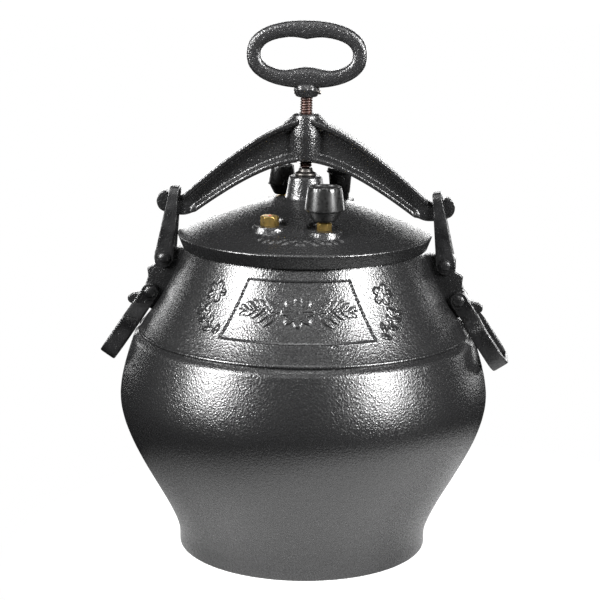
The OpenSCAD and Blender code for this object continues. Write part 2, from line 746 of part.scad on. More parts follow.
pot_body();
lid();
lid_gasket();
ear(-1);  // left_ear
ear(1);  // right_ear
ear_screws(-1);  // left_ear_screws
ear_screws(1);  // right_ear_screws
link(-1);  // left_link
link(1);  // right_link
headed_pin(-1, link_x, link_z, link_pin_r, link_head_r, link_half);  // left_link_pin
headed_pin(1, link_x, link_z, link_pin_r, link_head_r, link_half);  // right_link_pin
handle(-1);  // left_handle
handle(1);  // right_handle
headed_pin(-1, handle_x, handle_z, handle_pin_r, handle_head_r, handle_half);  // left_handle_pin
headed_pin(1, handle_x, handle_z, handle_pin_r, handle_head_r, handle_half);  // right_handle_pin
yoke();
clamp_screw();
screw_handle();
handle_cross_pin();
screw_foot();
foot_retaining_ring();
nozzle(regulator_at, regulator_hex_r, regulator_hex_h);  // regulator_nozzle
washer(regulator_at, nozzle_shank_r, nozzle_nut_r);  // regulator_washer
lid_nut(regulator_at, nozzle_shank_r, nozzle_nut_r, washer_t);  // regulator_nut
weight(regulator_at, regulator_hex_h, regulator_foot_r, regulator_r);  // regulator_weight
weight_cap(regulator_at, regulator_hex_h, regulator_r, regulator_cap_h, regulator_taper);  // regulator_cap
safety_plug();
safety_disc();
washer(plug_at, plug_shank_r, plug_nut_r);  // safety_washer
lid_nut(plug_at, plug_shank_r, plug_nut_r, washer_t);  // safety_nut
nozzle(relief_at, relief_hex_r, relief_hex_h);  // relief_nozzle
lid_nut(relief_at, nozzle_shank_r, nozzle_nut_r, 0);  // relief_nut
weight(relief_at, relief_hex_h, relief_foot_r, relief_r);  // relief_weight
weight_cap(relief_at, relief_hex_h, relief_r, relief_cap_h, relief_taper);  // relief_cap
lid_knob();
lid_knob_screw();
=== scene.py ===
import math

import bmesh
import bpy
import numpy as np
from mathutils import Euler, Matrix, Vector


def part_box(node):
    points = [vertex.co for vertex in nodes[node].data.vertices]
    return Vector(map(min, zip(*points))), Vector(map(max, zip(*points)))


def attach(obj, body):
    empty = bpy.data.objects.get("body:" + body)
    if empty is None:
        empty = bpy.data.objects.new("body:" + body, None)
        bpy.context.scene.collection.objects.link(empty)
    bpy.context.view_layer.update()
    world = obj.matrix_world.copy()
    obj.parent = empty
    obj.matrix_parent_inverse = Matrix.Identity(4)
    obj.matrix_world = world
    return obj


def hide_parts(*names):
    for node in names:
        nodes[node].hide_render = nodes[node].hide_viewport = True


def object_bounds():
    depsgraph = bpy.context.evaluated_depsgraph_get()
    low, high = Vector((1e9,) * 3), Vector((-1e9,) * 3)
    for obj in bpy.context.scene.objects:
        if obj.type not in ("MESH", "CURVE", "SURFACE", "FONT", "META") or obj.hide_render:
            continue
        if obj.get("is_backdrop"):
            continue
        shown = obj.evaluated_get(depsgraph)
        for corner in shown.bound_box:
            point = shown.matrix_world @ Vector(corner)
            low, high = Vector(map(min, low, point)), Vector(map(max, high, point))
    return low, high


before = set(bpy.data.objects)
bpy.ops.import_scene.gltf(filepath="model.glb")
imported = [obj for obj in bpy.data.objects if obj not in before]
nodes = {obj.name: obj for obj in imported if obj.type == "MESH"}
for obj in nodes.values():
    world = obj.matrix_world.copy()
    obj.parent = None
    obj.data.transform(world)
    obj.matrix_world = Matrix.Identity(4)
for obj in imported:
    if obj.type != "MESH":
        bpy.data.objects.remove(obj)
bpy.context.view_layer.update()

scene = bpy.context.scene

# ---------------------------------------------------------------- pot body
# The pot is one aluminium casting: a flat base, a wide belly, a ridge, and a shoulder that closes in
# to the neck. Cast ornament stands on the front of the shoulder: a trapezoid frame round a plain
# medallion of leaves, a rosette on each side and a spray under each rosette. It is sprayed with
# black hammertone paint, which dries in glossy beads.

mm = 0.001


def cubic(a, b, c, d, steps):
    """Points on a cubic curve: the four control points weighted by (1-t)^3, 3t(1-t)^2, 3t^2(1-t), t^3."""
    t = np.linspace(0, 1, steps)[:, None]
    a, b, c, d = (np.asarray(p, float) for p in (a, b, c, d))
    return (1 - t) ** 3 * a + 3 * t * (1 - t) ** 2 * b + 3 * t**2 * (1 - t) * c + t**3 * d


def quadratic(a, b, c, steps):
    """Points on a quadratic curve: the three control points weighted by (1-t)^2, 2t(1-t), t^2."""
    t = np.linspace(0, 1, steps)[:, None]
    a, b, c = (np.asarray(p, float) for p in (a, b, c))
    return (1 - t) ** 2 * a + 2 * t * (1 - t) * b + t**2 * c


def arc(centre, radius, start, end, steps):
    """Points on a circle round centre, from the start angle to the end angle in degrees."""
    t = np.radians(np.linspace(start, end, steps))
    return np.asarray(centre) + radius * np.stack([np.cos(t), np.sin(t)], 1)


def full_turn(count):
    """Angles spread evenly round a full turn."""
    return np.linspace(0, 2 * math.pi, count, endpoint=False)


def inset(line, depth):
    """The line moved sideways by depth: each point goes along the left normal of its tangent."""
    tangent = np.gradient(line, axis=0)
    tangent /= np.linalg.norm(tangent, axis=1)[:, None]
    return line + depth * np.stack([-tangent[:, 1], tangent[:, 0]], 1)


def softened(corners, radius, steps=5):
    """A polyline with each inner corner replaced by a quadratic curve that starts and ends radius away."""
    corners = np.asarray(corners, float)
    line = [corners[:1]]
    for before, corner, after in zip(corners, corners[1:], corners[2:]):
        back, ahead = before - corner, after - corner
        back *= min(radius / np.linalg.norm(back), 0.48)
        ahead *= min(radius / np.linalg.norm(ahead), 0.48)
        line.append(quadratic(corner + back, corner, corner + ahead, steps))
    return np.concatenate(line + [corners[-1:]])


def skin(name, grid, loop=False):
    """Closed mesh over a grid [row, column, xyz] whose columns run right round. With loop the rows run
    round too; otherwise each end row is closed by triangles to one point at its middle."""
    rows, cols = grid.shape[:2]
    row = np.arange(rows if loop else rows - 1)[:, None]
    col = np.arange(cols)[None]
    here, up = row * cols, (row + 1) % rows * cols
    turn = (col + 1) % cols
    quads = np.stack([here + col, here + turn, up + turn, up + col], -1).reshape(-1, 4)
    points, faces = grid.reshape(-1, 3), quads.tolist()
    if not loop:
        points = np.concatenate([points, grid[0].mean(0)[None], grid[-1].mean(0)[None]])
        c, k = col[0], turn[0]
        last = (rows - 1) * cols
        first_fan = np.stack([k, c, np.full(cols, rows * cols)], 1)
        last_fan = np.stack([last + c, last + k, np.full(cols, rows * cols + 1)], 1)
        faces += first_fan.tolist() + last_fan.tolist()
    a, b, c, d = (points[quads[:, n]] for n in range(4))
    volume = (a * np.cross(b, c)).sum() + (a * np.cross(c, d)).sum()
    if volume < 0:
        faces = [face[::-1] for face in faces]
    mesh = bpy.data.meshes.new(name)
    mesh.from_pydata(points.tolist(), [], faces)
    mesh.validate()
    mesh.polygons.foreach_set("use_smooth", np.ones(len(mesh.polygons), bool))
    piece = bpy.data.objects.new(name, mesh)
    scene.collection.objects.link(piece)
    return piece


def turned(profile, angles, centre=(0.0, 0.0), wobble=0.0):
    """Grid of a profile of [radius, height] turned about an upright axis through centre. wobble is added
    to the radius: a number, or one value for each row and column."""
    radius = np.maximum(profile[:, :1], 1e-6) + wobble + 0 * angles
    x = centre[0] + radius * np.cos(angles)
    y = centre[1] + radius * np.sin(angles)
    return np.stack([x, y, profile[:, 1:] + 0 * radius], -1)


def finish_piece(piece, body, slot, material, *replaced, sharp=35):
    """Gives a piece its body, material and the nodes that it replaces, and keeps edges over the
    sharp angle crisp. The slot is not used."""
    piece.data.set_sharp_from_angle(angle=math.radians(sharp))
    piece.data.materials.clear()
    piece.data.materials.append(material)
    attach(piece, body)
    if replaced:
        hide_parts(*replaced)
    return piece


def node_group(name, inputs, outputs):
    """A new shader node group with float inputs given as {name: default} and outputs as {name: type}."""
    group = bpy.data.node_groups.new(name, "ShaderNodeTree")
    for label, value in inputs.items():
        socket = group.interface.new_socket(label, in_out="INPUT", socket_type="NodeSocketFloat")
        socket.default_value = value
    for label, kind in outputs.items():
        group.interface.new_socket(label, in_out="OUTPUT", socket_type=kind)
    return group, group.nodes.new("NodeGroupInput"), group.nodes.new("NodeGroupOutput")


def math_node(tree, operation, a, b=None):
    """A math node on two sockets or numbers; returns its output."""
    node = tree.nodes.new("ShaderNodeMath")
    node.operation = operation
    for socket, value in zip(node.inputs, (a, b)):
        if isinstance(value, bpy.types.NodeSocket):
            tree.links.new(value, socket)
        elif value is not None:
            socket.default_value = value
    return node.outputs[0]


def new_material(name):
    """A new node material, with its tree and its shader."""
    material = bpy.data.materials.new(name)
    material.use_nodes = True
    return material, material.node_tree, material.node_tree.nodes["Principled BSDF"]


def noise_node(tree, scale, detail, vector):
    """A noise texture's output at a scale and detail on a vector."""
    noise = tree.nodes.new("ShaderNodeTexNoise")
    noise.inputs["Scale"].default_value = scale
    noise.inputs["Detail"].default_value = detail
    tree.links.new(vector, noise.inputs["Vector"])
    return noise.outputs[0]


def object_place(tree):
    """Where a shaded point lies on its object, in metres."""
    return tree.nodes.new("ShaderNodeTexCoord").outputs["Object"]


def add_bump(tree, shader, height, depth):
    """Bump on a shader from a height output, depth millimetres for a height of 1."""
    bump = tree.nodes.new("ShaderNodeBump")
    bump.inputs["Strength"].default_value = 1.0
    bump.inputs["Distance"].default_value = depth * mm
    tree.links.new(height, bump.inputs["Height"])
    tree.links.new(bump.outputs[0], shader.inputs["Normal"])


def tone_and_gloss(tree, shader, tone, gloss):
    """Base colour and roughness, each a ramp given as (value, stops)."""
    tree.links.new(ramp(tree, *tone), shader.inputs["Base Color"])
    tree.links.new(ramp(tree, *gloss), shader.inputs["Roughness"])


def ramp(tree, value, stops):
    """A colour ramp on a value, with stops of (position, grey or colour)."""
    node = tree.nodes.new("ShaderNodeValToRGB")
    tree.links.new(value, node.inputs[0])
    for n, (position, colour) in enumerate(stops):
        stop = node.color_ramp.elements[n] if n < 2 else node.color_ramp.elements.new(position)
        stop.position = position
        grey = isinstance(colour, (int, float))
        stop.color = (colour, colour, colour, 1) if grey else (*colour, 1)
    return node.outputs[0]


def hammertone_group():
    """Paint that dries in beads: two sizes of cell whose edges sink, roughened by a noise as fine.
    Height is for a bump node, Bead is 1 on the middle of a bead, and Film is the slow swell."""
    group, given, out = node_group(
        "Hammertone grain",
        {"Bead size": 1.4},
        {"Height": "NodeSocketFloat", "Bead": "NodeSocketFloat", "Film": "NodeSocketFloat"},
    )
    place = object_place(group)
    per_metre = math_node(group, "DIVIDE", 1000.0, given.outputs["Bead size"])
    warp = group.nodes.new("ShaderNodeTexNoise")
    warp.inputs["Detail"].default_value = 2
    group.links.new(place, warp.inputs["Vector"])
    group.links.new(per_metre, warp.inputs["Scale"])
    shift = group.nodes.new("ShaderNodeVectorMath")
    shift.operation = "MULTIPLY_ADD"
    shift.inputs[1].default_value = (0.0012, 0.0012, 0.0012)
    group.links.new(warp.outputs["Color"], shift.inputs[0])
    group.links.new(place, shift.inputs[2])
    cells = []
    for share in (1.0, 1.9):
        cell = group.nodes.new("ShaderNodeTexVoronoi")
        cell.feature = "SMOOTH_F1"
        cell.inputs["Smoothness"].default_value = 0.35
        group.links.new(shift.outputs[0], cell.inputs["Vector"])
        group.links.new(math_node(group, "MULTIPLY", per_metre, share), cell.inputs["Scale"])
        cells.append(math_node(group, "SUBTRACT", 1.0, cell.outputs["Distance"]))
    rough = group.nodes.new("ShaderNodeTexNoise")
    rough.inputs["Detail"].default_value = 1.5
    group.links.new(place, rough.inputs["Vector"])
    group.links.new(math_node(group, "MULTIPLY", per_metre, 0.9), rough.inputs["Scale"])
    small = math_node(group, "MULTIPLY", cells[1], 0.4)
    uneven = math_node(group, "MULTIPLY", rough.outputs[0], 1.7)
    beads = math_node(group, "ADD", cells[0], small)
    group.links.new(math_node(group, "ADD", beads, uneven), out.inputs["Height"])
    bead = group.nodes.new("ShaderNodeMapRange")
    bead.inputs["From Min"].default_value = 0.35
    bead.inputs["From Max"].default_value = 0.8
    group.links.new(cells[0], bead.inputs["Value"])
    group.links.new(bead.outputs[0], out.inputs["Bead"])
    group.links.new(noise_node(group, 60, 3, place), out.inputs["Film"])
    return group


HAMMERTONE = hammertone_group()


def hammertone(name, bead, depth, dark, light, rough=(0.13, 0.34)):
    """Glossy black hammertone paint: the beads are a little lighter and glossier than the sunk edges."""
    material, tree, shader = new_material(name)
    grain = tree.nodes.new("ShaderNodeGroup")
    grain.node_tree = HAMMERTONE
    grain.inputs["Bead size"].default_value = bead
    beads = grain.outputs["Bead"]
    gloss = [(0.0, rough[1]), (1.0, rough[0])]
    tone_and_gloss(tree, shader, (beads, [(0.0, dark), (1.0, light)]), (beads, gloss))
    add_bump(tree, shader, grain.outputs["Height"], depth)
    shader.inputs["Specular IOR Level"].default_value = 0.75
    return material


pot_paint = hammertone("pot hammertone", 1.35, 0.12, (0.004, 0.004, 0.0042), (0.013, 0.013, 0.0135))

pot_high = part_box("pot_body")[1]
mouth_z, belly_r = pot_high.z, pot_high.y
base_r = 98.2 * mm
belly_z = 123 * mm
ridge_z, ridge_r = 175.5 * mm, 129.5 * mm
neck_r, mouth_r = 92.4 * mm, 84 * mm
wall, base_t = 5 * mm, 7 * mm

shoulder_foot = (ridge_r - 0.7 * mm, ridge_z + 1.9 * mm)
shoulder_bend = (ridge_r - 21 * mm, ridge_z + 24.8 * mm)
shoulder_top = (neck_r, mouth_z - 6 * mm)
belly_end = (ridge_r + 4.3 * mm, ridge_z - 5.5 * mm)
lower = cubic((base_r, 8 * mm), (base_r, 34.3 * mm), (belly_r, belly_z - 38.4 * mm), (belly_r, belly_z), 46)
upper = cubic(
    (belly_r, belly_z), (belly_r, belly_z + 14 * mm),
    (belly_end[0] + 4.6 * mm, belly_end[1] - 14 * mm), belly_end, 26,
)
shoulder_rows = 104
shoulder = quadratic(shoulder_foot, shoulder_bend, shoulder_top, shoulder_rows)
bead = arc((ridge_r - 0.9 * mm, ridge_z), 1.6 * mm, -60, 70, 10)
heel = arc((base_r - 1.5 * mm, 1.5 * mm), 1.5 * mm, -90, 0, 5)
outside = np.concatenate([
    [(0.0, 0.0), (base_r * 0.5, 0.0)], heel, lower, upper[1:],
    [(ridge_r + 2.2 * mm, ridge_z - 3.6 * mm), (ridge_r + 0.9 * mm, ridge_z - 2.4 * mm)], bead, shoulder,
])
first_shoulder_row = len(outside) - shoulder_rows
lip = softened([
    (neck_r, mouth_z - 5 * mm), (neck_r, mouth_z), (mouth_r, mouth_z), (mouth_r, mouth_z - 9 * mm),
], 1 * mm, 4)
inner_shoulder = inset(shoulder[::8], wall)[::-1]
inner_shoulder = inner_shoulder[inner_shoulder[:, 0] > mouth_r + 1 * mm]
inside = np.concatenate([
    lip, inner_shoulder, inset(upper[::3], wall)[::-1], inset(lower[::4], wall)[::-1][1:],
    softened([(base_r - wall, base_t + 8 * mm), (base_r - wall - 3 * mm, base_t), (0.0, base_t)], 7 * mm, 5)[1:],
])
pot_profile = np.concatenate([outside, inside])

front = math.radians(-87.5)
half_front = math.radians(58)
fine_angles = front + np.linspace(-half_front, half_front, 350)
coarse_angles = front + np.linspace(half_front, 2 * math.pi - half_front, 92)[1:-1]
pot_angles = np.concatenate([fine_angles, coarse_angles])


def ridge(distance, width):
    """Rounded ridge: 1 on a line and 0 at width from it, as half a cosine."""
    return np.where(distance < width, 0.5 + 0.5 * np.cos(np.pi * np.clip(distance / width, 0, 1)), 0.0)


def line_ridge(s, t, a, b, width):
    """Ridge along the straight line from a to b on the ornament's plane."""
    (ax, ay), (bx, by) = a, b
    along = np.clip(((s - ax) * (bx - ax) + (t - ay) * (by - ay)) / ((bx - ax) ** 2 + (by - ay) ** 2), 0, 1)
    return ridge(np.hypot(s - ax - along * (bx - ax), t - ay - along * (by - ay)), width)


def rosette(s, t, centre, size, petals):
    """Flower: petals whose edge follows |cos| of the angle, each with a sunk vein, round a domed middle."""
    x, y = s - centre[0], t - centre[1]
    r, turn = np.hypot(x, y) / size, np.arctan2(y, x)
    edge = 0.45 + 0.55 * np.abs(np.cos(petals * turn / 2)) ** 0.6
    petal = np.clip((edge - r) / 0.16, 0, 1) * (0.65 + 0.35 * np.clip(r, 0, 1))
    vein = 0.5 * ridge(np.abs(np.sin(petals * turn / 2)) * r, 0.09) * (r > 0.3)
    return np.where(r < 1.05, np.maximum(petal - vein, 1.1 * ridge(r, 0.3)), 0.0)


def leaf(s, t, root, heading, length, width):
    """Leaf: an almond whose half width is width times sin(pi u) along its length, with a sunk midrib."""
    c, k = math.cos(heading), math.sin(heading)
    u = ((s - root[0]) * c + (t - root[1]) * k) / length
    v = np.abs(-(s - root[0]) * k + (t - root[1]) * c)
    half = width * np.sin(np.pi * np.clip(u, 0, 1)) ** 0.8 + 1e-9
    body = np.clip(1.25 * (1 - v / half), 0, 1) ** 0.7
    return np.where((u > 0) & (u < 1), body - 0.45 * ridge(v, 0.25 * width) * body, 0.0)


def spray(s, t, root, mirror, size):
    """Curved stem with a leaf on alternate sides at even steps, ending in a bud."""
    height = np.zeros_like(s)
    points = [
        (root[0] + mirror * size * 0.9 * math.sin(1.7 * u), root[1] + size * 1.5 * (u - 0.35 * u * u))
        for u in np.linspace(0, 1, 9)
    ]
    for n, (a, b) in enumerate(zip(points, points[1:])):
        height = np.maximum(height, 0.6 * line_ridge(s, t, a, b, 0.9 * mm))
        heading = math.atan2(b[1] - a[1], b[0] - a[0])
        side = 1 if n % 2 else -1
        height = np.maximum(height, leaf(s, t, a, heading + side * 0.95, 0.42 * size, 0.11 * size))
    return np.maximum(height, ridge(np.hypot(s - points[-1][0], t - points[-1][1]), 1.6 * mm))


def shoulder_ornament(angles, heights):
    """Height of the cast ornament at each angle and height on the shoulder, from 0 to about 1."""
    s = (angles[None] - front) * 105 * mm + 0 * heights[:, None]
    t = (heights[:, None] - 211 * mm) * 1.18 + 0 * angles[None]
    top, foot, tall = 42 * mm, 53 * mm, 24.5 * mm
    corners = [(-top, tall), (top, tall), (foot, -tall), (-foot, -tall), (-top, tall)]
    relief = np.zeros_like(s)
    for a, b in zip(corners, corners[1:]):
        relief = np.maximum(relief, 0.8 * line_ridge(s, t, a, b, 1.0 * mm))
    relief = np.maximum(relief, rosette(s, t, (0.0, 0.0), 13 * mm, 8))
    for mirror in (-1, 1):
        for n in range(5):
            root = (mirror * (15 + 5.4 * n) * mm, -1.5 * mm * math.cos(n * 1.3))
            for lift in (-1, 1):
                heading = math.atan2(lift * (1.1 - 0.12 * n), mirror)
                blade = leaf(s, t, root, heading, (15 - 1.7 * n) * mm, (2.6 - 0.2 * n) * mm)
                relief = np.maximum(relief, blade)
        stem = line_ridge(s, t, (mirror * 13 * mm, 0.0), (mirror * 44 * mm, 0.0), 0.9 * mm)
        relief = np.maximum(relief, 0.6 * stem)
        relief = np.maximum(relief, rosette(s, t, (mirror * 68 * mm, 11 * mm), 9.5 * mm, 5))
        relief = np.maximum(relief, spray(s, t, (mirror * 58 * mm, -22 * mm), mirror, 19 * mm))
    return relief


relief_depth = 1.2 * mm
pot_wobble = np.zeros((len(pot_profile), len(pot_angles)))
rows = slice(first_shoulder_row, first_shoulder_row + shoulder_rows)
pot_wobble[rows] = relief_depth * shoulder_ornament(pot_angles, shoulder[:, 1])
pot = skin("pot_shell", turned(pot_profile, pot_angles, wobble=pot_wobble))
finish_piece(pot, "pot", "hammertone_casting", pot_paint, "pot_body")

# ---------------------------------------------------------------- ear brackets
# A cast ear is screwed to each side of the shoulder. It is a thick slab with a lobe round the link
# pin, a lip, a round seat for the handle pin and a horn that points out between the handle's arms.

ear_paint = hammertone("ear hammertone", 1.2, 0.16, (0.004, 0.004, 0.0042), (0.012, 0.012, 0.0125))
link_pin_low, link_pin_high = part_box("right_link_pin")
handle_pin_low, handle_pin_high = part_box("right_handle_pin")
link_x, link_z = (link_pin_low.x + link_pin_high.x) / 2, (link_pin_low.z + link_pin_high.z) / 2
handle_x, handle_z = (handle_pin_low.x + handle_pin_high.x) / 2, (handle_pin_low.z + handle_pin_high.z) / 2
ear_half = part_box("right_ear")[1].y
rim_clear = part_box("lid")[1].x + 1 * mm


def rounded_slab(outline, half, radius, steps=4):
    """Grid of a slab: a closed [x, z] outline carried from -half to half along Y, drawn in by a quarter
    circle of the given radius at each face."""
    tangent = np.roll(outline, -1, 0) - np.roll(outline, 1, 0)
    tangent /= np.linalg.norm(tangent, axis=1)[:, None] + 1e-12
    inward = np.stack([-tangent[:, 1], tangent[:, 0]], 1)
    x, z = outline.T
    if (x * np.roll(z, -1) - np.roll(x, -1) * z).sum() < 0:
        inward = -inward
    quarter = np.linspace(0, math.pi / 2, steps)
    depth = radius * (1 - np.sin(quarter))
    place = -half + radius * (1 - np.cos(quarter))
    depth, place = np.concatenate([depth, depth[::-1]]), np.concatenate([place, -place[::-1]])
    flat = outline[None] + depth[:, None, None] * inward[None]
    return np.stack([flat[..., 0], np.broadcast_to(place[:, None], flat.shape[:2]), flat[..., 1]], -1)


def capped(name, grid):
    """Skin over a slab's grid whose two end rows are each closed by one flat face."""
    piece = skin(name, grid)
    shell = bmesh.new()
    shell.from_mesh(piece.data)
    rows, cols = grid.shape[:2]
    shell.verts.ensure_lookup_table()
    bmesh.ops.delete(shell, geom=[shell.verts[rows * cols], shell.verts[rows * cols + 1]], context="VERTS")
    bmesh.ops.holes_fill(shell, edges=[e for e in shell.edges if e.is_boundary], sides=0)
    bmesh.ops.triangulate(shell, faces=[f for f in shell.faces if len(f.verts) > 4])
    bmesh.ops.recalc_face_normals(shell, faces=shell.faces[:])
    shell.to_mesh(piece.data)
    shell.free()
    piece.data.polygons.foreach_set("use_smooth", np.ones(len(piece.data.polygons), bool))
    return piece


def ear_outline():
    """Outline of the right ear: along the shoulder's own curve inside, then lobe, lip and horn."""
    lobe, top = link_x + 7.7 * mm, link_z + 7.5 * mm
    buried = inset(quadratic(shoulder_foot, shoulder_bend, shoulder_top, 60), 2 * mm)
    buried = buried[(buried[:, 1] > handle_z - 15 * mm) & (buried[:, 1] < top)]
    over = softened([(rim_clear, top), (lobe, top), (lobe, link_z - 4 * mm)], 5 * mm, 8)
    lip = softened([
        (lobe, link_z - 4 * mm), (lobe, link_z - 5.5 * mm), (handle_x + 2.7 * mm, link_z - 9 * mm),
        (handle_x + 1.9 * mm, handle_z + 11.9 * mm), (handle_x + 4.5 * mm, handle_z + 4.5 * mm),
        (handle_x + 9 * mm, handle_z - 1.2 * mm), (handle_x + 14.5 * mm, handle_z - 2.8 * mm),
    ], 1.1 * mm, 4)
    horn = arc((handle_x + 14.5 * mm, handle_z - 6.7 * mm), 4.1 * mm, 75, -110, 10)
    under = [(handle_x + 7 * mm, handle_z - 11 * mm), (handle_x - 1 * mm, handle_z - 15 * mm)]
    return np.concatenate([buried, over, lip[1:-1], horn, under])


for side, word in ((-1, "left"), (1, "right")):
    grid = rounded_slab(ear_outline(), ear_half, 1 * mm)
    grid[..., 0] *= side
    finish_piece(capped(word + "_ear_casting", grid), "pot", "hammertone_casting", ear_paint, word + "_ear")

# ---------------------------------------------------------------- straps: links and handles
# A link is a flat steel strap bent over into a narrow stirrup, tapered to its bar and eyed at both
# ends. A carrying handle is a wider strap bent into a U. Both are dipped in the same black paint.


def blunt(wave, power):
    """A sine or cosine raised to a power with its sign kept, which squares off a round section."""
    return np.sign(wave) * np.abs(wave) ** power


def strap(name, path, across, half_w, half_t, side):
    """Closed strap: a rounded rectangle carried along a path. Its width runs along the across vector,
    half_w wide at each station, and its thickness runs along the path's normal."""
    path, across = np.asarray(path, float), np.asarray(across, float)
    tangent = np.gradient(path, axis=0)
    tangent /= np.linalg.norm(tangent, axis=1)[:, None]
    normal = np.cross(np.broadcast_to(across, tangent.shape), tangent)
    normal /= np.linalg.norm(normal, axis=1)[:, None]
    turn = full_turn(40)
    wide, thick = blunt(np.cos(turn), 0.25), blunt(np.sin(turn), 0.42)
    offset = half_w[:, None, None] * wide[None, :, None] * across
    grid = path[:, None] + offset + half_t * thick[None, :, None] * normal[:, None]
    grid[..., 0] *= side
    return skin(name, grid)


def strap_paint_material():
    """Black dip paint on pressed strap: a fine orange peel, and a duller, paler film where it is thin."""
    material, tree, shader = new_material("strap paint")
    grain = tree.nodes.new("ShaderNodeGroup")
    grain.node_tree = HAMMERTONE
    grain.inputs["Bead size"].default_value = 1.0
    film = grain.outputs["Film"]
    tones = [(0.35, (0.004, 0.004, 0.0042)), (0.7, (0.012, 0.012, 0.0125))]
    tone_and_gloss(tree, shader, (film, tones), (film, [(0.3, 0.22), (0.75, 0.4)]))
    add_bump(tree, shader, grain.outputs["Height"], 0.14)
    shader.inputs["Specular IOR Level"].default_value = 0.6
    return material


strap_paint = strap_paint_material()
link_low, link_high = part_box("right_link")
link_t = 3 * mm
link_eye, link_bar_half = 7.5 * mm, 3.5 * mm
link_mid_y = link_high.y - link_t / 2
bar_mid = np.array([link_low.x + link_bar_half, link_high.z - 1.5 * mm])
eye_mid = np.array([link_x, link_z])
lean = (bar_mid - eye_mid) / np.linalg.norm(bar_mid - eye_mid)
arm_len = np.linalg.norm(bar_mid - eye_mid)


def link_path():
    """Stations up one arm from below its eye, round the bar and down the other, as [y, along the arm]."""
    low = -link_eye
    eye = low + (1 - np.cos(np.linspace(0, math.pi / 2, 12))) * link_eye
    arm = np.concatenate([eye, np.linspace(1 * mm, arm_len - 4 * mm, 16)])
    bend = arc((link_mid_y - 4 * mm, arm_len - 4 * mm), 4 * mm, 0, 90, 8)
    up = np.stack([np.full(len(arm), link_mid_y), arm], 1)
    half = np.concatenate([up, bend[1:]])
    return np.concatenate([half, half[::-1] * [-1, 1]])


stations = link_path()
along = stations[:, 1]
taper = link_eye + (link_bar_half - link_eye) * np.clip(along / arm_len, 0, 1)
round_eye = np.sqrt(np.maximum(link_eye**2 - along**2, (0.3 * mm) ** 2))
link_half_w = np.where(along < 0, round_eye, taper)
across_link = (lean[1], 0.0, -lean[0])
for side, word in ((-1, "left"), (1, "right")):
    middle = np.stack([eye_mid[0] + lean[0] * along, stations[:, 0], eye_mid[1] + lean[1] * along], 1)
    piece = strap(word + "_link_strap", middle, across_link, link_half_w, link_t / 2, side)
    finish_piece(piece, word + "_link", "painted_steel", strap_paint, word + "_link")

handle_t = 4 * mm
handle_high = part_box("right_handle")[1]
handle_half_w = 6.7 * mm
handle_len = 62 * mm
handle_mid_y = handle_high.y - handle_t / 2
arm_mid_y = ear_half + 0.5 * mm + handle_t / 2
corner_r = 10 * mm
handle_reach = math.hypot(handle_len, handle_half_w)
hang = math.asin((handle_high.x - handle_x) / handle_reach) - math.atan2(handle_half_w, handle_len)
reach = (math.sin(hang), -math.cos(hang))


def handle_path():
    """Stations as [y, down]: from beyond one pin down an arm, out over its joggle, round a corner and
    along the grip, and back up the other side."""
    over_eye = -np.cos(np.linspace(0, math.pi / 2, 12)) * handle_half_w
    eye = np.stack([np.full(12, arm_mid_y), over_eye], 1)
    bends = [
        (arm_mid_y, 1 * mm), (arm_mid_y, 14.8 * mm),
        (handle_mid_y, 26.8 * mm), (handle_mid_y, handle_len - 12 * mm),
    ]
    corner = arc((handle_mid_y - corner_r, handle_len - 12 * mm), corner_r, 0, 90, 12)
    grip = [(0.0, handle_len - handle_t / 2)]
    half = np.concatenate([eye, softened(bends, 3.2 * mm, 7)[:-1], corner, grip])
    return np.concatenate([half, half[:-1][::-1] * [-1, 1]])


stations = handle_path()
along = stations[:, 1]
round_end = np.sqrt(np.maximum(handle_half_w**2 - along**2, (0.3 * mm) ** 2))
handle_widths = np.where(along < 0, round_end, handle_half_w)
for side, word in ((-1, "left"), (1, "right")):
    middle = np.stack([handle_x + reach[0] * along, stations[:, 0], handle_z + reach[1] * along], 1)
    across = (-reach[1], 0.0, reach[0])
    piece = strap(word + "_handle_strap", middle, across, handle_widths, handle_t / 2, side)
    finish_piece(piece, word + "_handle", "painted_steel", strap_paint, word + "_handle")

# ---------------------------------------------------------------- rivet pins
# Each link and handle turns on a steel pin set from side to side through its ear. Both ends are
# headed over into low domes, with a turned washer face under each dome.


def pin(name, low, high, shank_r, head_r, washer_r):
    """Pin along Y turned from a profile: domed head, washer, shank, and the same again."""
    x, z = (low.x + high.x) / 2, (low.z + high.z) / 2
    end, head_h = high.y, 2.4 * mm
    seat = end - head_h
    tilt = np.linspace(0.02, 1.57, 9)
    dome = np.stack([head_r * np.sin(tilt), seat + 0.4 * mm + 2 * mm * np.cos(tilt)], 1)
    half = np.concatenate([dome, [
        (head_r, seat + 0.7 * mm), (washer_r, seat + 0.6 * mm), (washer_r, seat), (shank_r, seat), (shank_r, 0.0),
    ]])
    profile = np.concatenate([half, half[:-1][::-1] * [1, -1]])
    turn = full_turn(40)
    grid = np.stack([
        x + profile[:, :1] * np.cos(turn), profile[:, 1:] + 0 * turn, z + profile[:, :1] * np.sin(turn)
    ], -1)
    return skin(name, grid)


for word in ("left", "right"):
    for what, shank_r, washer_r in (("link", 2.5 * mm, 5 * mm), ("handle", 3 * mm, 6.3 * mm)):
        node = f"{word}_{what}_pin"
        low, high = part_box(node)
        piece = pin(node + "_headed", low, high, shank_r, (high.z - low.z) / 2, washer_r)
        finish_piece(piece, "pot", "painted_steel", strap_paint, node)

# ---------------------------------------------------------------- lid
# The lid is a shallow cast dome with a short skirt that drops over the neck. A boss stands in its
# middle for the screw's foot, flat round seats are faced on it for the fittings, and a band of cast
# leaves runs across its front.

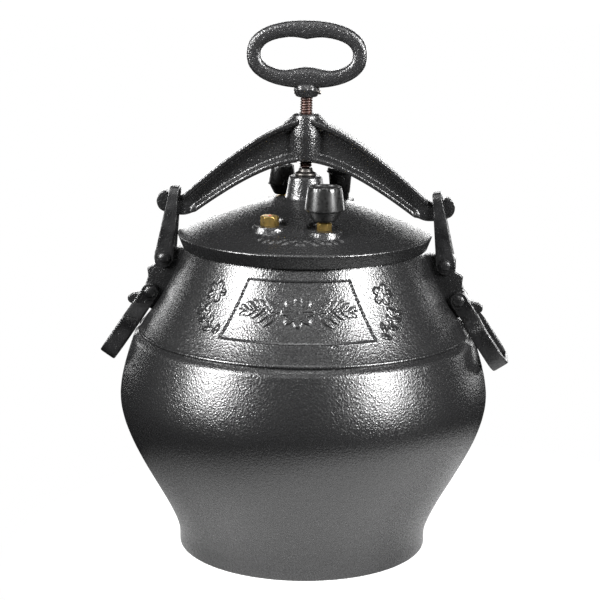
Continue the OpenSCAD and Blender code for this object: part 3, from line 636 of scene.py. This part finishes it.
lid_paint = hammertone("lid hammertone", 1.3, 0.13, (0.004, 0.004, 0.0042), (0.013, 0.013, 0.0135))
lid_low, lid_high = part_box("lid")
skirt_z, boss_top, rim_r = lid_low.z, lid_high.z, lid_high.x
seat_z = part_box("lid_gasket")[1].z
boss_r, boss_top_r, boss_z = 15.7 * mm, 12.8 * mm, seat_z + 30.4 * mm
rim_z = seat_z + 3.2 * mm
skirt_in, skirt_out = neck_r + 0.8 * mm, neck_r + 2.9 * mm
dome_bend = ((boss_r + rim_r) / 2 + 1 * mm, boss_z - 8.4 * mm)
dome = quadratic((rim_r - 1 * mm, rim_z), dome_bend, (boss_r, boss_z), 130)
skirt = softened([
    (skirt_in, seat_z - 1 * mm), (skirt_in, skirt_z), (skirt_out, skirt_z), (rim_r, rim_z - 1 * mm),
    (rim_r - 1 * mm, rim_z),
], 0.7 * mm, 4)[:-1]
lid_outside = np.concatenate([
    skirt, dome,
    softened([(boss_r - 0.2 * mm, boss_z + 0.8 * mm), (boss_r - 0.6 * mm, boss_z + 2 * mm),
              (boss_top_r, boss_top - 0.6 * mm),
              (boss_top_r - 2 * mm, boss_top), (0.0, boss_top)], 1.6 * mm, 5),
])
lid_inside = np.concatenate([
    [(0.0, boss_z - 5 * mm), (boss_r - 3 * mm, boss_z - 5 * mm)],
    quadratic((boss_r - 2 * mm, boss_z - 5 * mm), (54 * mm, seat_z + 17 * mm), (mouth_r - 1 * mm, seat_z), 30),
    [(skirt_in, seat_z)],
])
lid_profile = np.concatenate([lid_outside, lid_inside])
lid_angles = front + full_turn(520)
lid_grid = turned(lid_profile, lid_angles)
dome_rows = slice(len(skirt), len(skirt) + len(dome))


def lid_ornament(grid):
    """Height of the leaf band on the lid's front: a wavy stem with paired leaves and a rosette."""
    angle = np.arctan2(grid[..., 1], grid[..., 0]) - front
    angle = (angle + math.pi) % (2 * math.pi) - math.pi
    radius = np.hypot(grid[..., 0], grid[..., 1])
    s, t = angle * 81 * mm, 81 * mm - radius
    relief = rosette(s, t, (0.0, 0.0), 6.5 * mm, 6)
    for mirror in (-1, 1):
        for n in range(5):
            root = (mirror * (7 + 5.6 * n) * mm, 1.1 * mm * math.sin(1.9 * n))
            for lift in (-1, 1):
                heading = math.atan2(lift * 0.9, mirror)
                relief = np.maximum(relief, leaf(s, t, root, heading, (8.2 - 0.7 * n) * mm, 1.7 * mm))
            ahead = (mirror * (7 + 5.6 * (n + 1)) * mm, 1.1 * mm * math.sin(1.9 * (n + 1)))
            relief = np.maximum(relief, 0.7 * line_ridge(s, t, root, ahead, 0.9 * mm))
    return relief


dome_grid = lid_grid[dome_rows]
dome_grid[..., 2] += 1 * mm * lid_ornament(dome_grid)
seats = {"regulator_nozzle": 13, "safety_plug": 13, "relief_nozzle": 12, "lid_knob": 12}
for node, seat_r in seats.items():
    low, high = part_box(node)
    x, y = (low.x + high.x) / 2, (low.y + high.y) / 2
    r = math.hypot(x, y)
    flat = np.interp(r, dome[::-1, 0], dome[::-1, 1]) + 0.4 * mm
    away = np.hypot(dome_grid[..., 0] - x, dome_grid[..., 1] - y)
    share = np.clip((seat_r * mm - away) / (1.6 * mm) + 0.5, 0, 1)
    dome_grid[..., 2] += share * (flat - dome_grid[..., 2])
lid_piece = skin("lid_shell", lid_grid, loop=False)
finish_piece(lid_piece, "lid", "hammertone_casting", lid_paint, "lid", sharp=50)

# ---------------------------------------------------------------- yoke
# The clamp yoke is a cast beam of I section: a thin web between two flanges, arched from a round
# boss down to a hooked nose at each end. The notch behind each nose takes the link's bar.

yoke_paint = hammertone("yoke hammertone", 1.3, 0.19, (0.004, 0.004, 0.0042), (0.013, 0.013, 0.0135))
yoke_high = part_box("yoke")[1]
yoke_z, yoke_top, yoke_end = yoke_high.z - 36.3 * mm, yoke_high.z, yoke_high.x
notch_z = yoke_z - 30.7 * mm
notch_x = link_low.x + link_bar_half
sole_z = notch_z - 10.6 * mm
flange_half, web_half, nose_half, flange_t = 11.5 * mm, 4.5 * mm, 5.5 * mm, 4.2 * mm
yoke_boss_r = yoke_high.y


def yoke_edges():
    """Stations along one arm with the height of its top and bottom edge: two cubic curves down to the
    notch, then the nose, whose end is a half circle of its own height."""
    top = cubic((0.0, yoke_z + 34 * mm), (30 * mm, yoke_z + 27 * mm),
                (62 * mm, notch_z + 32.5 * mm), (96 * mm, notch_z + 2 * mm), 60)
    low = cubic((0.0, yoke_z - 0.2 * mm), (28 * mm, yoke_z - 1 * mm),
                (60 * mm, notch_z + 7.4 * mm), (85 * mm, sole_z), 60)
    x = np.concatenate([np.linspace(5.6 * mm, 90 * mm, 56), np.linspace(91 * mm, yoke_end - 0.02 * mm, 60)])
    x[-14:] = yoke_end - 6.2 * mm * (1 - np.sin(np.linspace(0.12, math.pi / 2 - 0.015, 14)))
    high = np.interp(x, top[:, 0], top[:, 1])
    deep = np.interp(x, low[:, 0], low[:, 1])
    nose_x = notch_x + link_bar_half + 1.6 * mm
    step = 0.5 - 0.5 * np.cos(math.pi * np.clip((x - nose_x + 1.2 * mm) / (3.2 * mm), 0, 1))
    past = x > 96 * mm
    high = np.where(past, notch_z + np.maximum(0, 2 * mm - (x - 96 * mm) * 0.9) + 4.5 * mm * step, high)
    lobe = notch_z - 14.2 * mm
    sink = np.clip((x - 85 * mm) / (11 * mm), 0, 1)
    rise = np.clip((x - 97 * mm) / (14 * mm), 0, 1)
    past = x > 85 * mm
    hook = sole_z + (lobe - sole_z) * np.sin(sink * math.pi / 2) + 2.6 * mm * rise**2
    deep = np.where(past, hook, deep)
    curve = np.clip((x - yoke_end + 6.2 * mm) / (6.2 * mm), 0, 1)
    close = np.sqrt(np.maximum(1 - curve**2, 0))
    middle = (notch_z + 4.5 * mm + lobe + 2.6 * mm) / 2 + 0 * x
    high, deep = (np.where(curve > 0, middle + (edge - middle) * close, edge) for edge in (high, deep))
    return x, high, deep


yoke_x, yoke_up, yoke_down = yoke_edges()
for side, word in ((-1, "left"), (1, "right")):
    stations = len(yoke_x)
    height = (yoke_up - yoke_down) / 2
    middle = (yoke_up + yoke_down) / 2
    lip_share = np.clip(flange_t / np.maximum(height, 1 * mm), 0.1, 0.62)
    over_end = np.clip((yoke_x - 93.5 * mm) / (3 * mm), 0, 1)
    under_end = np.clip((yoke_x - 85 * mm) / (4 * mm), 0, 1)
    wide_top = flange_half + (nose_half - flange_half) * np.sin(over_end * math.pi / 2)
    wide_low = flange_half + (nose_half - flange_half) * np.sin(under_end * math.pi / 2)
    web = web_half + (nose_half - web_half) * np.clip((yoke_x - 84 * mm) / (8 * mm), 0, 1)
    rows_of_grid = []
    for n in range(stations):
        inner = 1 - lip_share[n]
        outline = [
            (0.0, -1.0), (wide_low[n], -1.0), (wide_low[n], -inner - 0.02), (web[n], -inner + 0.14),
            (web[n], inner - 0.14), (wide_top[n], inner + 0.02), (wide_top[n], 1.0), (0.0, 1.0),
        ]
        right = softened([(p[0], p[1] * height[n]) for p in outline], 1.6 * mm, 5)
        both = np.concatenate([right, right[1:-1][::-1] * [-1, 1]])
        across = np.full(len(both), side * yoke_x[n])
        rows_of_grid.append(np.stack([across, both[:, 0], middle[n] + both[:, 1]], 1))
    piece = skin(word + "_yoke_arm", np.array(rows_of_grid))
    finish_piece(piece, "yoke", "hammertone_casting", yoke_paint, "yoke", sharp=60)
    brace = softened([
        (6 * mm, yoke_top - 13 * mm), (6 * mm, yoke_top - 1.2 * mm), (10.5 * mm, yoke_top - 1.2 * mm),
        (yoke_boss_r + 5 * mm, yoke_top - 8.2 * mm), (yoke_boss_r + 5 * mm, yoke_top - 13 * mm),
    ], 1.4 * mm, 4)
    grid = rounded_slab(brace, 7.4 * mm, 1.2 * mm)
    grid[..., 0] *= side
    finish_piece(capped(word + "_yoke_brace", grid), "yoke", "hammertone_casting", yoke_paint, "yoke")

bore_r = 4.95 * mm
boss_profile = softened([
    (bore_r, yoke_z + 1 * mm), (bore_r, yoke_z), (yoke_boss_r - 1 * mm, yoke_z),
    (yoke_boss_r - 0.4 * mm, yoke_z + 20 * mm), (yoke_boss_r - 2.2 * mm, yoke_top - 1.2 * mm),
    (yoke_boss_r - 4 * mm, yoke_top), (bore_r, yoke_top), (bore_r, yoke_top - 1 * mm),
], 2.2 * mm, 6)
round_angles = full_turn(96)
boss = skin("yoke_boss", turned(boss_profile, round_angles), loop=True)
finish_piece(boss, "yoke", "hammertone_casting", yoke_paint, "yoke")

# ---------------------------------------------------------------- clamp screw
# The screw is cut from steel bar, with a coarse thread along its length. The bare steel has browned
# where the paint never reached it.


def worn_thread_material():
    """Browned steel: reddish in the thread's hollows and bare grey on its crests."""
    material, tree, shader = new_material("browned thread")
    stain = noise_node(tree, 900, 5, object_place(tree))
    crest = tree.nodes.new("ShaderNodeAttribute")
    crest.attribute_name = "crest"
    worn = math_node(tree, "MULTIPLY", crest.outputs["Fac"], math_node(tree, "ADD", stain, 0.35))
    tones = [(0.1, (0.03, 0.013, 0.01)), (0.55, (0.075, 0.035, 0.027)), (0.95, (0.17, 0.13, 0.12))]
    tone_and_gloss(tree, shader, (worn, tones), (stain, [(0.3, 0.3), (0.7, 0.55)]))
    shader.inputs["Metallic"].default_value = 0.85
    return material


screw_low, screw_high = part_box("clamp_screw")
screw_r, journal_r = screw_high.x, 3 * mm
pitch, thread_depth = 2 * mm, 0.75 * mm
thread_foot = screw_low.z + 6 * mm
journal = [
    (journal_r - 0.4 * mm, screw_low.z), (journal_r, screw_low.z + 0.4 * mm), (journal_r, thread_foot - 0.4 * mm),
]
thread_z = np.linspace(thread_foot, screw_high.z - 0.3 * mm, 380)
thread_rows = np.stack([np.full(len(thread_z), screw_r), thread_z], 1)
screw_profile = np.concatenate([journal, thread_rows, [(screw_r - 1 * mm, screw_high.z)]])
screw_angles = full_turn(48)
phase = (thread_z[:, None] / pitch - screw_angles[None] / (2 * math.pi)) % 1.0
crest = np.clip(1.6 * np.abs(2 * phase - 1) - 0.3, 0, 1)
screw_wobble = np.zeros((len(screw_profile), len(screw_angles)))
screw_wobble[3:-1] = -thread_depth * (1 - crest)
screw = skin("threaded_screw", turned(screw_profile, screw_angles, wobble=screw_wobble))
crest_of = np.zeros(len(screw.data.vertices))
crest_of[3 * 48:3 * 48 + crest.size] = crest.ravel()
screw.data.attributes.new("crest", "FLOAT", "POINT").data.foreach_set("value", crest_of)
finish_piece(screw, "screw", "screw_steel", worn_thread_material(), "clamp_screw", sharp=80)

# ---------------------------------------------------------------- ring handle
# The screw is turned by a cast ring, an oval hoop that is thicker at its ends. A point dips from the
# top bar, a hump rises from the bottom one, and a stepped collar under it grips the screw.

ring_paint = hammertone("ring hammertone", 1.2, 0.2, (0.006, 0.006, 0.0062), (0.02, 0.02, 0.021))
ring_low, ring_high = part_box("screw_handle")
ring_a, ring_b = ring_high.x, 25.7 * mm
ring_mid_z = ring_high.z - ring_b
bar = 12.2 * mm
ring_half_t = 6 * mm


def oval(angle, a, b, power):
    """Points of a superellipse with half axes a and b."""
    return np.stack([a * blunt(np.cos(angle), power), b * blunt(np.sin(angle), power)], 1)


def even_oval(a, b, power, count):
    """The same superellipse at points spread evenly along it by angle about its middle."""
    dense = oval(np.linspace(0, 2 * math.pi, 4000), a, b, power)
    seen = np.unwrap(np.arctan2(dense[:, 1] / b, dense[:, 0] / a))
    return np.stack([np.interp(full_turn(count), seen, side) for side in dense.T], 1)


outer_line = even_oval(ring_a, ring_b, 0.88, 160)
inner_line = even_oval(ring_a - bar + 0.6 * mm, ring_b - bar, 0.8, 160)
x = inner_line[:, 0]
dip = 1.9 * mm * np.maximum(0, 1 - np.abs(x) / (13 * mm)) ** 1.4
hump = 3.9 * mm * np.cos(np.minimum(math.pi / 2, np.abs(x) / (22 * mm) * math.pi / 2)) ** 2
inner_line[:, 1] += np.where(inner_line[:, 1] > 0, -dip, hump)
section = full_turn(32)
out_share, thick_share = blunt(np.cos(section), 0.62), blunt(np.sin(section), 0.62)
middle = (outer_line + inner_line) / 2
half_bar = (outer_line - inner_line) / 2
flat = middle[:, None] + half_bar[:, None] * out_share[None, :, None]
hoop_y = ring_half_t * thick_share + 0 * flat[..., 0]
hoop_grid = np.stack([flat[..., 0], hoop_y, ring_mid_z + flat[..., 1]], -1)
hoop = skin("ring_hoop", hoop_grid, loop=True)
finish_piece(hoop, "screw", "hammertone_casting", ring_paint, "screw_handle", sharp=70)

collar_z = ring_low.z
collar_profile = softened([
    (0.0, collar_z + 0.6 * mm), (5.2 * mm, collar_z + 0.6 * mm), (5.4 * mm, collar_z), (8.2 * mm, collar_z),
    (9.4 * mm, collar_z + 3.2 * mm), (10.4 * mm, collar_z + 6.2 * mm), (8.6 * mm, collar_z + 9.5 * mm),
    (0.0, collar_z + 12 * mm),
], 1.1 * mm, 5)
collar_angles = full_turn(72)
outer = np.clip((collar_profile[:, :1] - 6 * mm) / (3 * mm), 0, 1)
lobes = 0.45 * mm * np.cos(6 * collar_angles)[None] * outer
collar = skin("ring_collar", turned(collar_profile, collar_angles, wobble=lobes - 0.45 * mm * (lobes != 0)))
finish_piece(collar, "screw", "hammertone_casting", ring_paint, "screw_handle", sharp=70)

# ---------------------------------------------------------------- turned steel parts
# The foot that presses on the boss, its retaining ring, the cross pin of the ring handle and the
# screws inside the pot and lid are turned from bright steel, and keep a fine turned grain.


def turned_steel_material(name, colour, rough, grain):
    """Turned or drawn metal: fine rings across the axis in the bump, and a slow change of tone."""
    material, tree, shader = new_material(name)
    place = object_place(tree)
    stretch = tree.nodes.new("ShaderNodeMapping")
    stretch.inputs["Scale"].default_value = (60, 60, 2600)
    tree.links.new(place, stretch.inputs["Vector"])
    rings = noise_node(tree, 1.0, 3, stretch.outputs[0])
    cloud = noise_node(tree, 140, 4, place)
    dull = tuple(0.55 * c for c in colour)
    tones = [(0.32, dull), (0.62, colour)]
    tone_and_gloss(tree, shader, (cloud, tones), (rings, [(0.3, rough), (0.7, rough + 0.16)]))
    add_bump(tree, shader, rings, grain)
    shader.inputs["Metallic"].default_value = 1.0
    return material


steel = turned_steel_material("turned steel", (0.3, 0.28, 0.26), 0.3, 0.02)
foot_low, foot_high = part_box("screw_foot")
foot_r = foot_high.x
foot_profile = softened([
    (journal_r + 0.15 * mm, foot_low.z + 2.6 * mm), (journal_r + 1.9 * mm, foot_low.z + 2.4 * mm),
    (journal_r + 1.9 * mm, foot_low.z), (foot_r - 0.3 * mm, foot_low.z), (foot_r, foot_low.z + 1 * mm),
    (foot_r - 0.3 * mm, foot_low.z + 2.2 * mm),
    (foot_r - 2.4 * mm, foot_low.z + 3.2 * mm), (5.2 * mm, foot_high.z), (journal_r + 0.05 * mm, foot_high.z),
    (journal_r + 0.05 * mm, foot_low.z + 2.8 * mm),
], 0.6 * mm, 4)
foot = skin("swivel_foot", turned(foot_profile, round_angles), loop=True)
dark_steel = turned_steel_material("blacked steel", (0.09, 0.085, 0.08), 0.34, 0.02)
finish_piece(foot, "foot", "bare_steel", dark_steel, "screw_foot", sharp=40)


def dress(node, material):
    """A CAD node whose shape is right keeps it and takes a material in every slot."""
    slots = nodes[node].data.materials
    for n in range(len(slots)):
        slots[n] = material
    if not len(slots):
        slots.append(material)


for node in ("foot_retaining_ring", "left_ear_screws", "right_ear_screws", "lid_knob_screw"):
    dress(node, steel)

cross_low, cross_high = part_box("handle_cross_pin")
cross_r, cross_z = (cross_high.z - cross_low.z) / 2, (cross_high.z + cross_low.z) / 2
cross = softened([
    (0.0, cross_low.x), (cross_r, cross_low.x), (cross_r, cross_high.x), (0.0, cross_high.x)
], 0.5 * mm, 4)
turn = full_turn(32)
cross_y, cross_up = cross[:, :1] * np.cos(turn), cross[:, :1] * np.sin(turn)
cross_grid = np.stack([cross[:, 1:] + 0 * turn, cross_y, cross_z + cross_up], -1)
finish_piece(skin("cross_pin", cross_grid), "screw", "bare_steel", steel, "handle_cross_pin")

# ---------------------------------------------------------------- brass nozzles, plug and nuts
# Steam nozzles and the safety plug are turned from brass hexagon bar with chamfered corners, drawn
# down on rubber washers by brass nuts inside the lid. The plug holds a red insert that gives way
# if the pot overheats.

brass = turned_steel_material("bright brass", (0.9, 0.62, 0.2), 0.24, 0.015)


def hexagon(angles):
    """Radius of a hexagon with corners at 1, at each angle."""
    sector = (angles + math.pi / 6) % (math.pi / 3) - math.pi / 6
    return math.cos(math.pi / 6) / np.cos(np.abs(sector) - math.pi / 6)


def hex_fitting(name, centre, seat, hex_r, hex_h, shank_low, shank_r, tip_r, tip_z):
    """Fitting turned from hexagon bar: shank, chamfered hexagon and a round tip, with its radius taken
    as the smaller of the hexagon and the chamfer's cone."""
    rows = softened([
        (0.0, shank_low), (shank_r, shank_low), (shank_r, seat + 0.02 * mm), (hex_r, seat + 0.02 * mm),
        (hex_r, seat + hex_h - 0.9 * mm), (hex_r - 1.3 * mm, seat + hex_h), (tip_r, seat + hex_h + 0.02 * mm),
        (tip_r, tip_z), (0.0, tip_z),
    ], 0.25 * mm, 3)
    flat_r = hex_r * hexagon(round_angles)[None]
    in_hex = (rows[:, 1] > seat) & (rows[:, 1] < seat + hex_h + 0.01 * mm)
    radius = np.broadcast_to(rows[:, :1], (len(rows), len(round_angles))).copy()
    radius[in_hex] = np.minimum(radius[in_hex], np.broadcast_to(flat_r, radius.shape)[in_hex])
    grid = turned(rows, round_angles, centre, wobble=radius - np.maximum(rows[:, :1], 1e-6))
    return skin(name, grid)


def centre_of(node):
    low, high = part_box(node)
    return (low.x + high.x) / 2, (low.y + high.y) / 2


fittings = {
    "regulator_nozzle": (5.5, 6.0, 4.2, 2.2),
    "relief_nozzle": (5.0, 1.5, 4.2, 2.2),
    "safety_plug": (7.0, 7.4, 4.8, 3.4),
}
for node, (hex_r, hex_h, shank_r, tip_r) in fittings.items():
    low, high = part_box(node)
    shank_len = 15 * mm
    piece = hex_fitting(
        node + "_turned", centre_of(node), low.z + shank_len, hex_r * mm, hex_h * mm, low.z, shank_r * mm,
        tip_r * mm, high.z,
    )
    finish_piece(piece, "lid", "brass", brass, node, sharp=30)
for node in ("regulator_nut", "safety_nut", "relief_nut"):
    dress(node, brass)


def plain_material(name, dark, light, rough, scale, depth):
    """Moulded plastic or rubber: tone, gloss and a fine texture that all follow one noise."""
    material, tree, shader = new_material(name)
    noise = noise_node(tree, scale, 5, object_place(tree))
    gloss = [(0.3, rough), (0.7, rough + 0.14)]
    tone_and_gloss(tree, shader, (noise, [(0.3, dark), (0.7, light)]), (noise, gloss))
    add_bump(tree, shader, noise, depth)
    return material


rubber = plain_material("washer rubber", (0.012, 0.012, 0.012), (0.03, 0.03, 0.03), 0.6, 700, 0.03)
gasket = plain_material("gasket silicone", (0.2, 0.03, 0.02), (0.32, 0.06, 0.04), 0.42, 500, 0.02)
red = plain_material("red insert", (0.4, 0.02, 0.015), (0.62, 0.05, 0.03), 0.35, 900, 0.02)
dress("regulator_washer", rubber)
dress("safety_washer", rubber)
dress("lid_gasket", gasket)
disc_low, disc_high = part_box("safety_disc")
disc_r = (disc_high.x - disc_low.x) / 2
disc = softened([
    (0.0, disc_low.z), (disc_r, disc_low.z), (disc_r, disc_high.z - 0.5 * mm), (0.0, disc_high.z),
], 0.6 * mm, 4)
piece = skin("red_disc", turned(disc, round_angles, centre_of("safety_disc")))
finish_piece(piece, "lid", "red_insert", red, "safety_disc")

# ---------------------------------------------------------------- weights, caps and knob
# The regulator and the relief valve are dead weights that rest on their nozzles. Each is a flared
# weight under a tapered moulded cap with a fluted skirt. The knob beside them is moulded too.

plastic = plain_material("black moulding", (0.004, 0.004, 0.004), (0.009, 0.009, 0.009), 0.24, 420, 0.003)
cap_angles = full_turn(144)


def capped_weight(word, flutes):
    """Weight and cap of one valve, each turned, with shallow flutes round the cap's top edge."""
    low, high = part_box(word + "_weight")
    cap_low, cap_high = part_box(word + "_cap")
    centre, cap_r = centre_of(word + "_cap"), (cap_high.x - cap_low.x) / 2
    foot_r = {"regulator": 8.5 * mm, "relief": 6 * mm}[word]
    weight = softened([
        (2.35 * mm, low.z + 4 * mm), (2.35 * mm, low.z), (foot_r, low.z), (foot_r + 1.2 * mm, low.z + 1.4 * mm),
        (cap_r - 1.4 * mm, cap_low.z - 0.2 * mm), (cap_r - 4 * mm, cap_low.z - 0.05 * mm),
        (2.35 * mm, cap_low.z - 0.05 * mm),
        (2.35 * mm, low.z + 5 * mm),
    ], 0.7 * mm, 4)
    top_r = cap_r - 2.5 * mm
    cap = softened([
        (2.5 * mm, cap_low.z + 0.5 * mm), (cap_r - 2 * mm, cap_low.z), (cap_r, cap_low.z + 0.2 * mm),
        (cap_r - 0.2 * mm, cap_low.z + 2 * mm),
        (top_r + 0.5 * mm, cap_high.z - 2.4 * mm), (top_r, cap_high.z), (top_r - 1.6 * mm, cap_high.z),
        (top_r - 2.4 * mm, cap_high.z - 1.8 * mm), (2.5 * mm, cap_high.z - 1.8 * mm),
        (2.5 * mm, cap_high.z - 3 * mm),
    ], 0.7 * mm, 4)
    near_top = np.clip((cap[:, 1:] - cap_high.z + 3 * mm) / (1.5 * mm), 0, 1)
    near_top = near_top * (cap[:, :1] > top_r - 1.2 * mm)
    groove = -0.14 * mm * near_top * (0.5 + 0.5 * np.cos(flutes * cap_angles))[None] ** 2
    for name, profile, wobble in (("weight", weight, 0.0), ("cap", cap, groove)):
        node = f"{word}_{name}"
        piece = skin(node + "_moulded", turned(profile, cap_angles, centre, wobble=wobble), loop=True)
        finish_piece(piece, word, "black_plastic", plastic, node, sharp=40)


capped_weight("regulator", 24)
capped_weight("relief", 18)

knob_low, knob_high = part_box("lid_knob")
knob_r = (knob_high.x - knob_low.x) / 2
knob = softened([
    (0.0, knob_low.z), (7.2 * mm, knob_low.z), (7.2 * mm, knob_low.z + 4.6 * mm),
    (7.9 * mm, knob_low.z + 5.4 * mm), (knob_r - 1.7 * mm, knob_high.z - 4.4 * mm),
    (knob_r - 0.2 * mm, knob_high.z - 3.6 * mm), (knob_r, knob_high.z - 1.4 * mm),
    (knob_r - 1.2 * mm, knob_high.z), (0.0, knob_high.z - 0.4 * mm),
], 0.8 * mm, 4)
piece = skin("knob_moulded", turned(knob, round_angles, centre_of("lid_knob")))
finish_piece(piece, "lid", "black_plastic", plastic, "lid_knob")

# ---------------------------------------------------------------- floor, light and camera
# A floor that glows white to the camera. Its colour is a painted pool of light: pale near the pot and a little to
# its right, where the lower belly shows it as a painted reflection, and painted black farther out, so it is dark
# to reflections away from the pot. A tall soft light on each side, a weak one in front and one above, and a
# bright backdrop that draws the edges of the glossy paint.


floor_mesh = bpy.data.meshes.new("floor")
span = 6.0
corners = [(-span, -span, 0), (span, -span, 0), (span, span, 0), (-span, span, 0)]
floor_mesh.from_pydata(corners, [], [(0, 1, 2, 3)])
floor_mesh.transform(Matrix.Translation((0, 0, -0.0002)))
floor = bpy.data.objects.new("floor", floor_mesh)
scene.collection.objects.link(floor)
floor_with_light_pool, tree, shader = new_material("floor with painted light pool")
shader.inputs["Roughness"].default_value = 0.7
away = tree.nodes.new("ShaderNodeVectorMath")
away.operation = "DISTANCE"
away.inputs[1].default_value = (0.08, -0.03, 0)
tree.links.new(object_place(tree), away.inputs[0])
# Painted pool of light: the colour is 0.5 grey within 0.17 m of a point right of and in front of the pot's axis,
# and fades to black at 0.31 m. The pot reflects this as a painted bright patch on its lower belly.
tree.links.new(ramp(tree, away.outputs["Value"], [(0.17, 0.5), (0.31, 0.0)]), shader.inputs["Base Color"])
shader.inputs["Specular IOR Level"].default_value = 0
shader.inputs["Emission Color"].default_value = (1, 1, 1, 1)
direct = tree.nodes.new("ShaderNodeLightPath").outputs["Is Camera Ray"]
# To camera rays the floor glows, at half strength near the pot and fully white from 0.24 m out.
glow = ramp(tree, away.outputs["Value"], [(0.1, 0.5), (0.24, 1.0)])
tree.links.new(math_node(tree, "MULTIPLY", direct, glow), shader.inputs["Emission Strength"])
floor.data.materials.append(floor_with_light_pool)
floor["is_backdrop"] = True


def soft_light(name, place, aim, size, watts):
    """Rectangular soft light at place, turned to face aim."""
    light = bpy.data.lights.new(name, "AREA")
    light.shape = "RECTANGLE"
    light.size, light.size_y = size
    light.energy = watts
    lamp = bpy.data.objects.new(name, light)
    lamp.location = place
    lamp.rotation_euler = (Vector(aim) - Vector(place)).to_track_quat("-Z", "Y").to_euler()
    scene.collection.objects.link(lamp)


soft_light("left softbox", (-1.3, -0.9, 1.0), (0, 0, 0.2), (0.5, 1.0), 95)
soft_light("right softbox", (1.35, -0.85, 1.0), (0, 0, 0.2), (0.5, 1.0), 95)
soft_light("front fill", (0.1, -1.7, 1.7), (0, 0, 0.25), (0.9, 0.4), 5)
soft_light("backdrop", (0, 1.8, 0.3), (0, 0, 0.3), (4.0, 0.6), 40)
soft_light("overhead", (0, -0.1, 2.2), (0, 0, 0.2), (1.0, 0.6), 11)

world = bpy.data.worlds.new("studio")
scene.world = world
world.use_nodes = True
tree = world.node_tree
shade = tree.nodes["Background"]
shade.inputs["Color"].default_value = (1, 1, 1, 1)
direct = tree.nodes.new("ShaderNodeLightPath").outputs["Is Camera Ray"]
brightness = math_node(tree, "ADD", math_node(tree, "MULTIPLY", direct, 1.0), 0.03)
tree.links.new(brightness, shade.inputs["Strength"])

distance, eye_z = 1.4210, 0.5145
turned_by, pitch, side_aim, lean_by = (math.radians(a) for a in (5, 12.6, 0.136, 0.6))
camera_data = bpy.data.cameras.new("camera")
camera_data.sensor_width = 36
camera_data.lens = 111
camera = bpy.data.objects.new("camera", camera_data)
camera.location = (distance * math.sin(turned_by), -distance * math.cos(turned_by), eye_z)
aim = Euler((math.pi / 2 - pitch, 0, turned_by + side_aim)).to_matrix() @ Matrix.Rotation(lean_by, 3, "Z")
camera.rotation_euler = aim.to_euler()
scene.collection.objects.link(camera)
scene.camera = camera
scene.view_settings.view_transform = "Standard"

low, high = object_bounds()
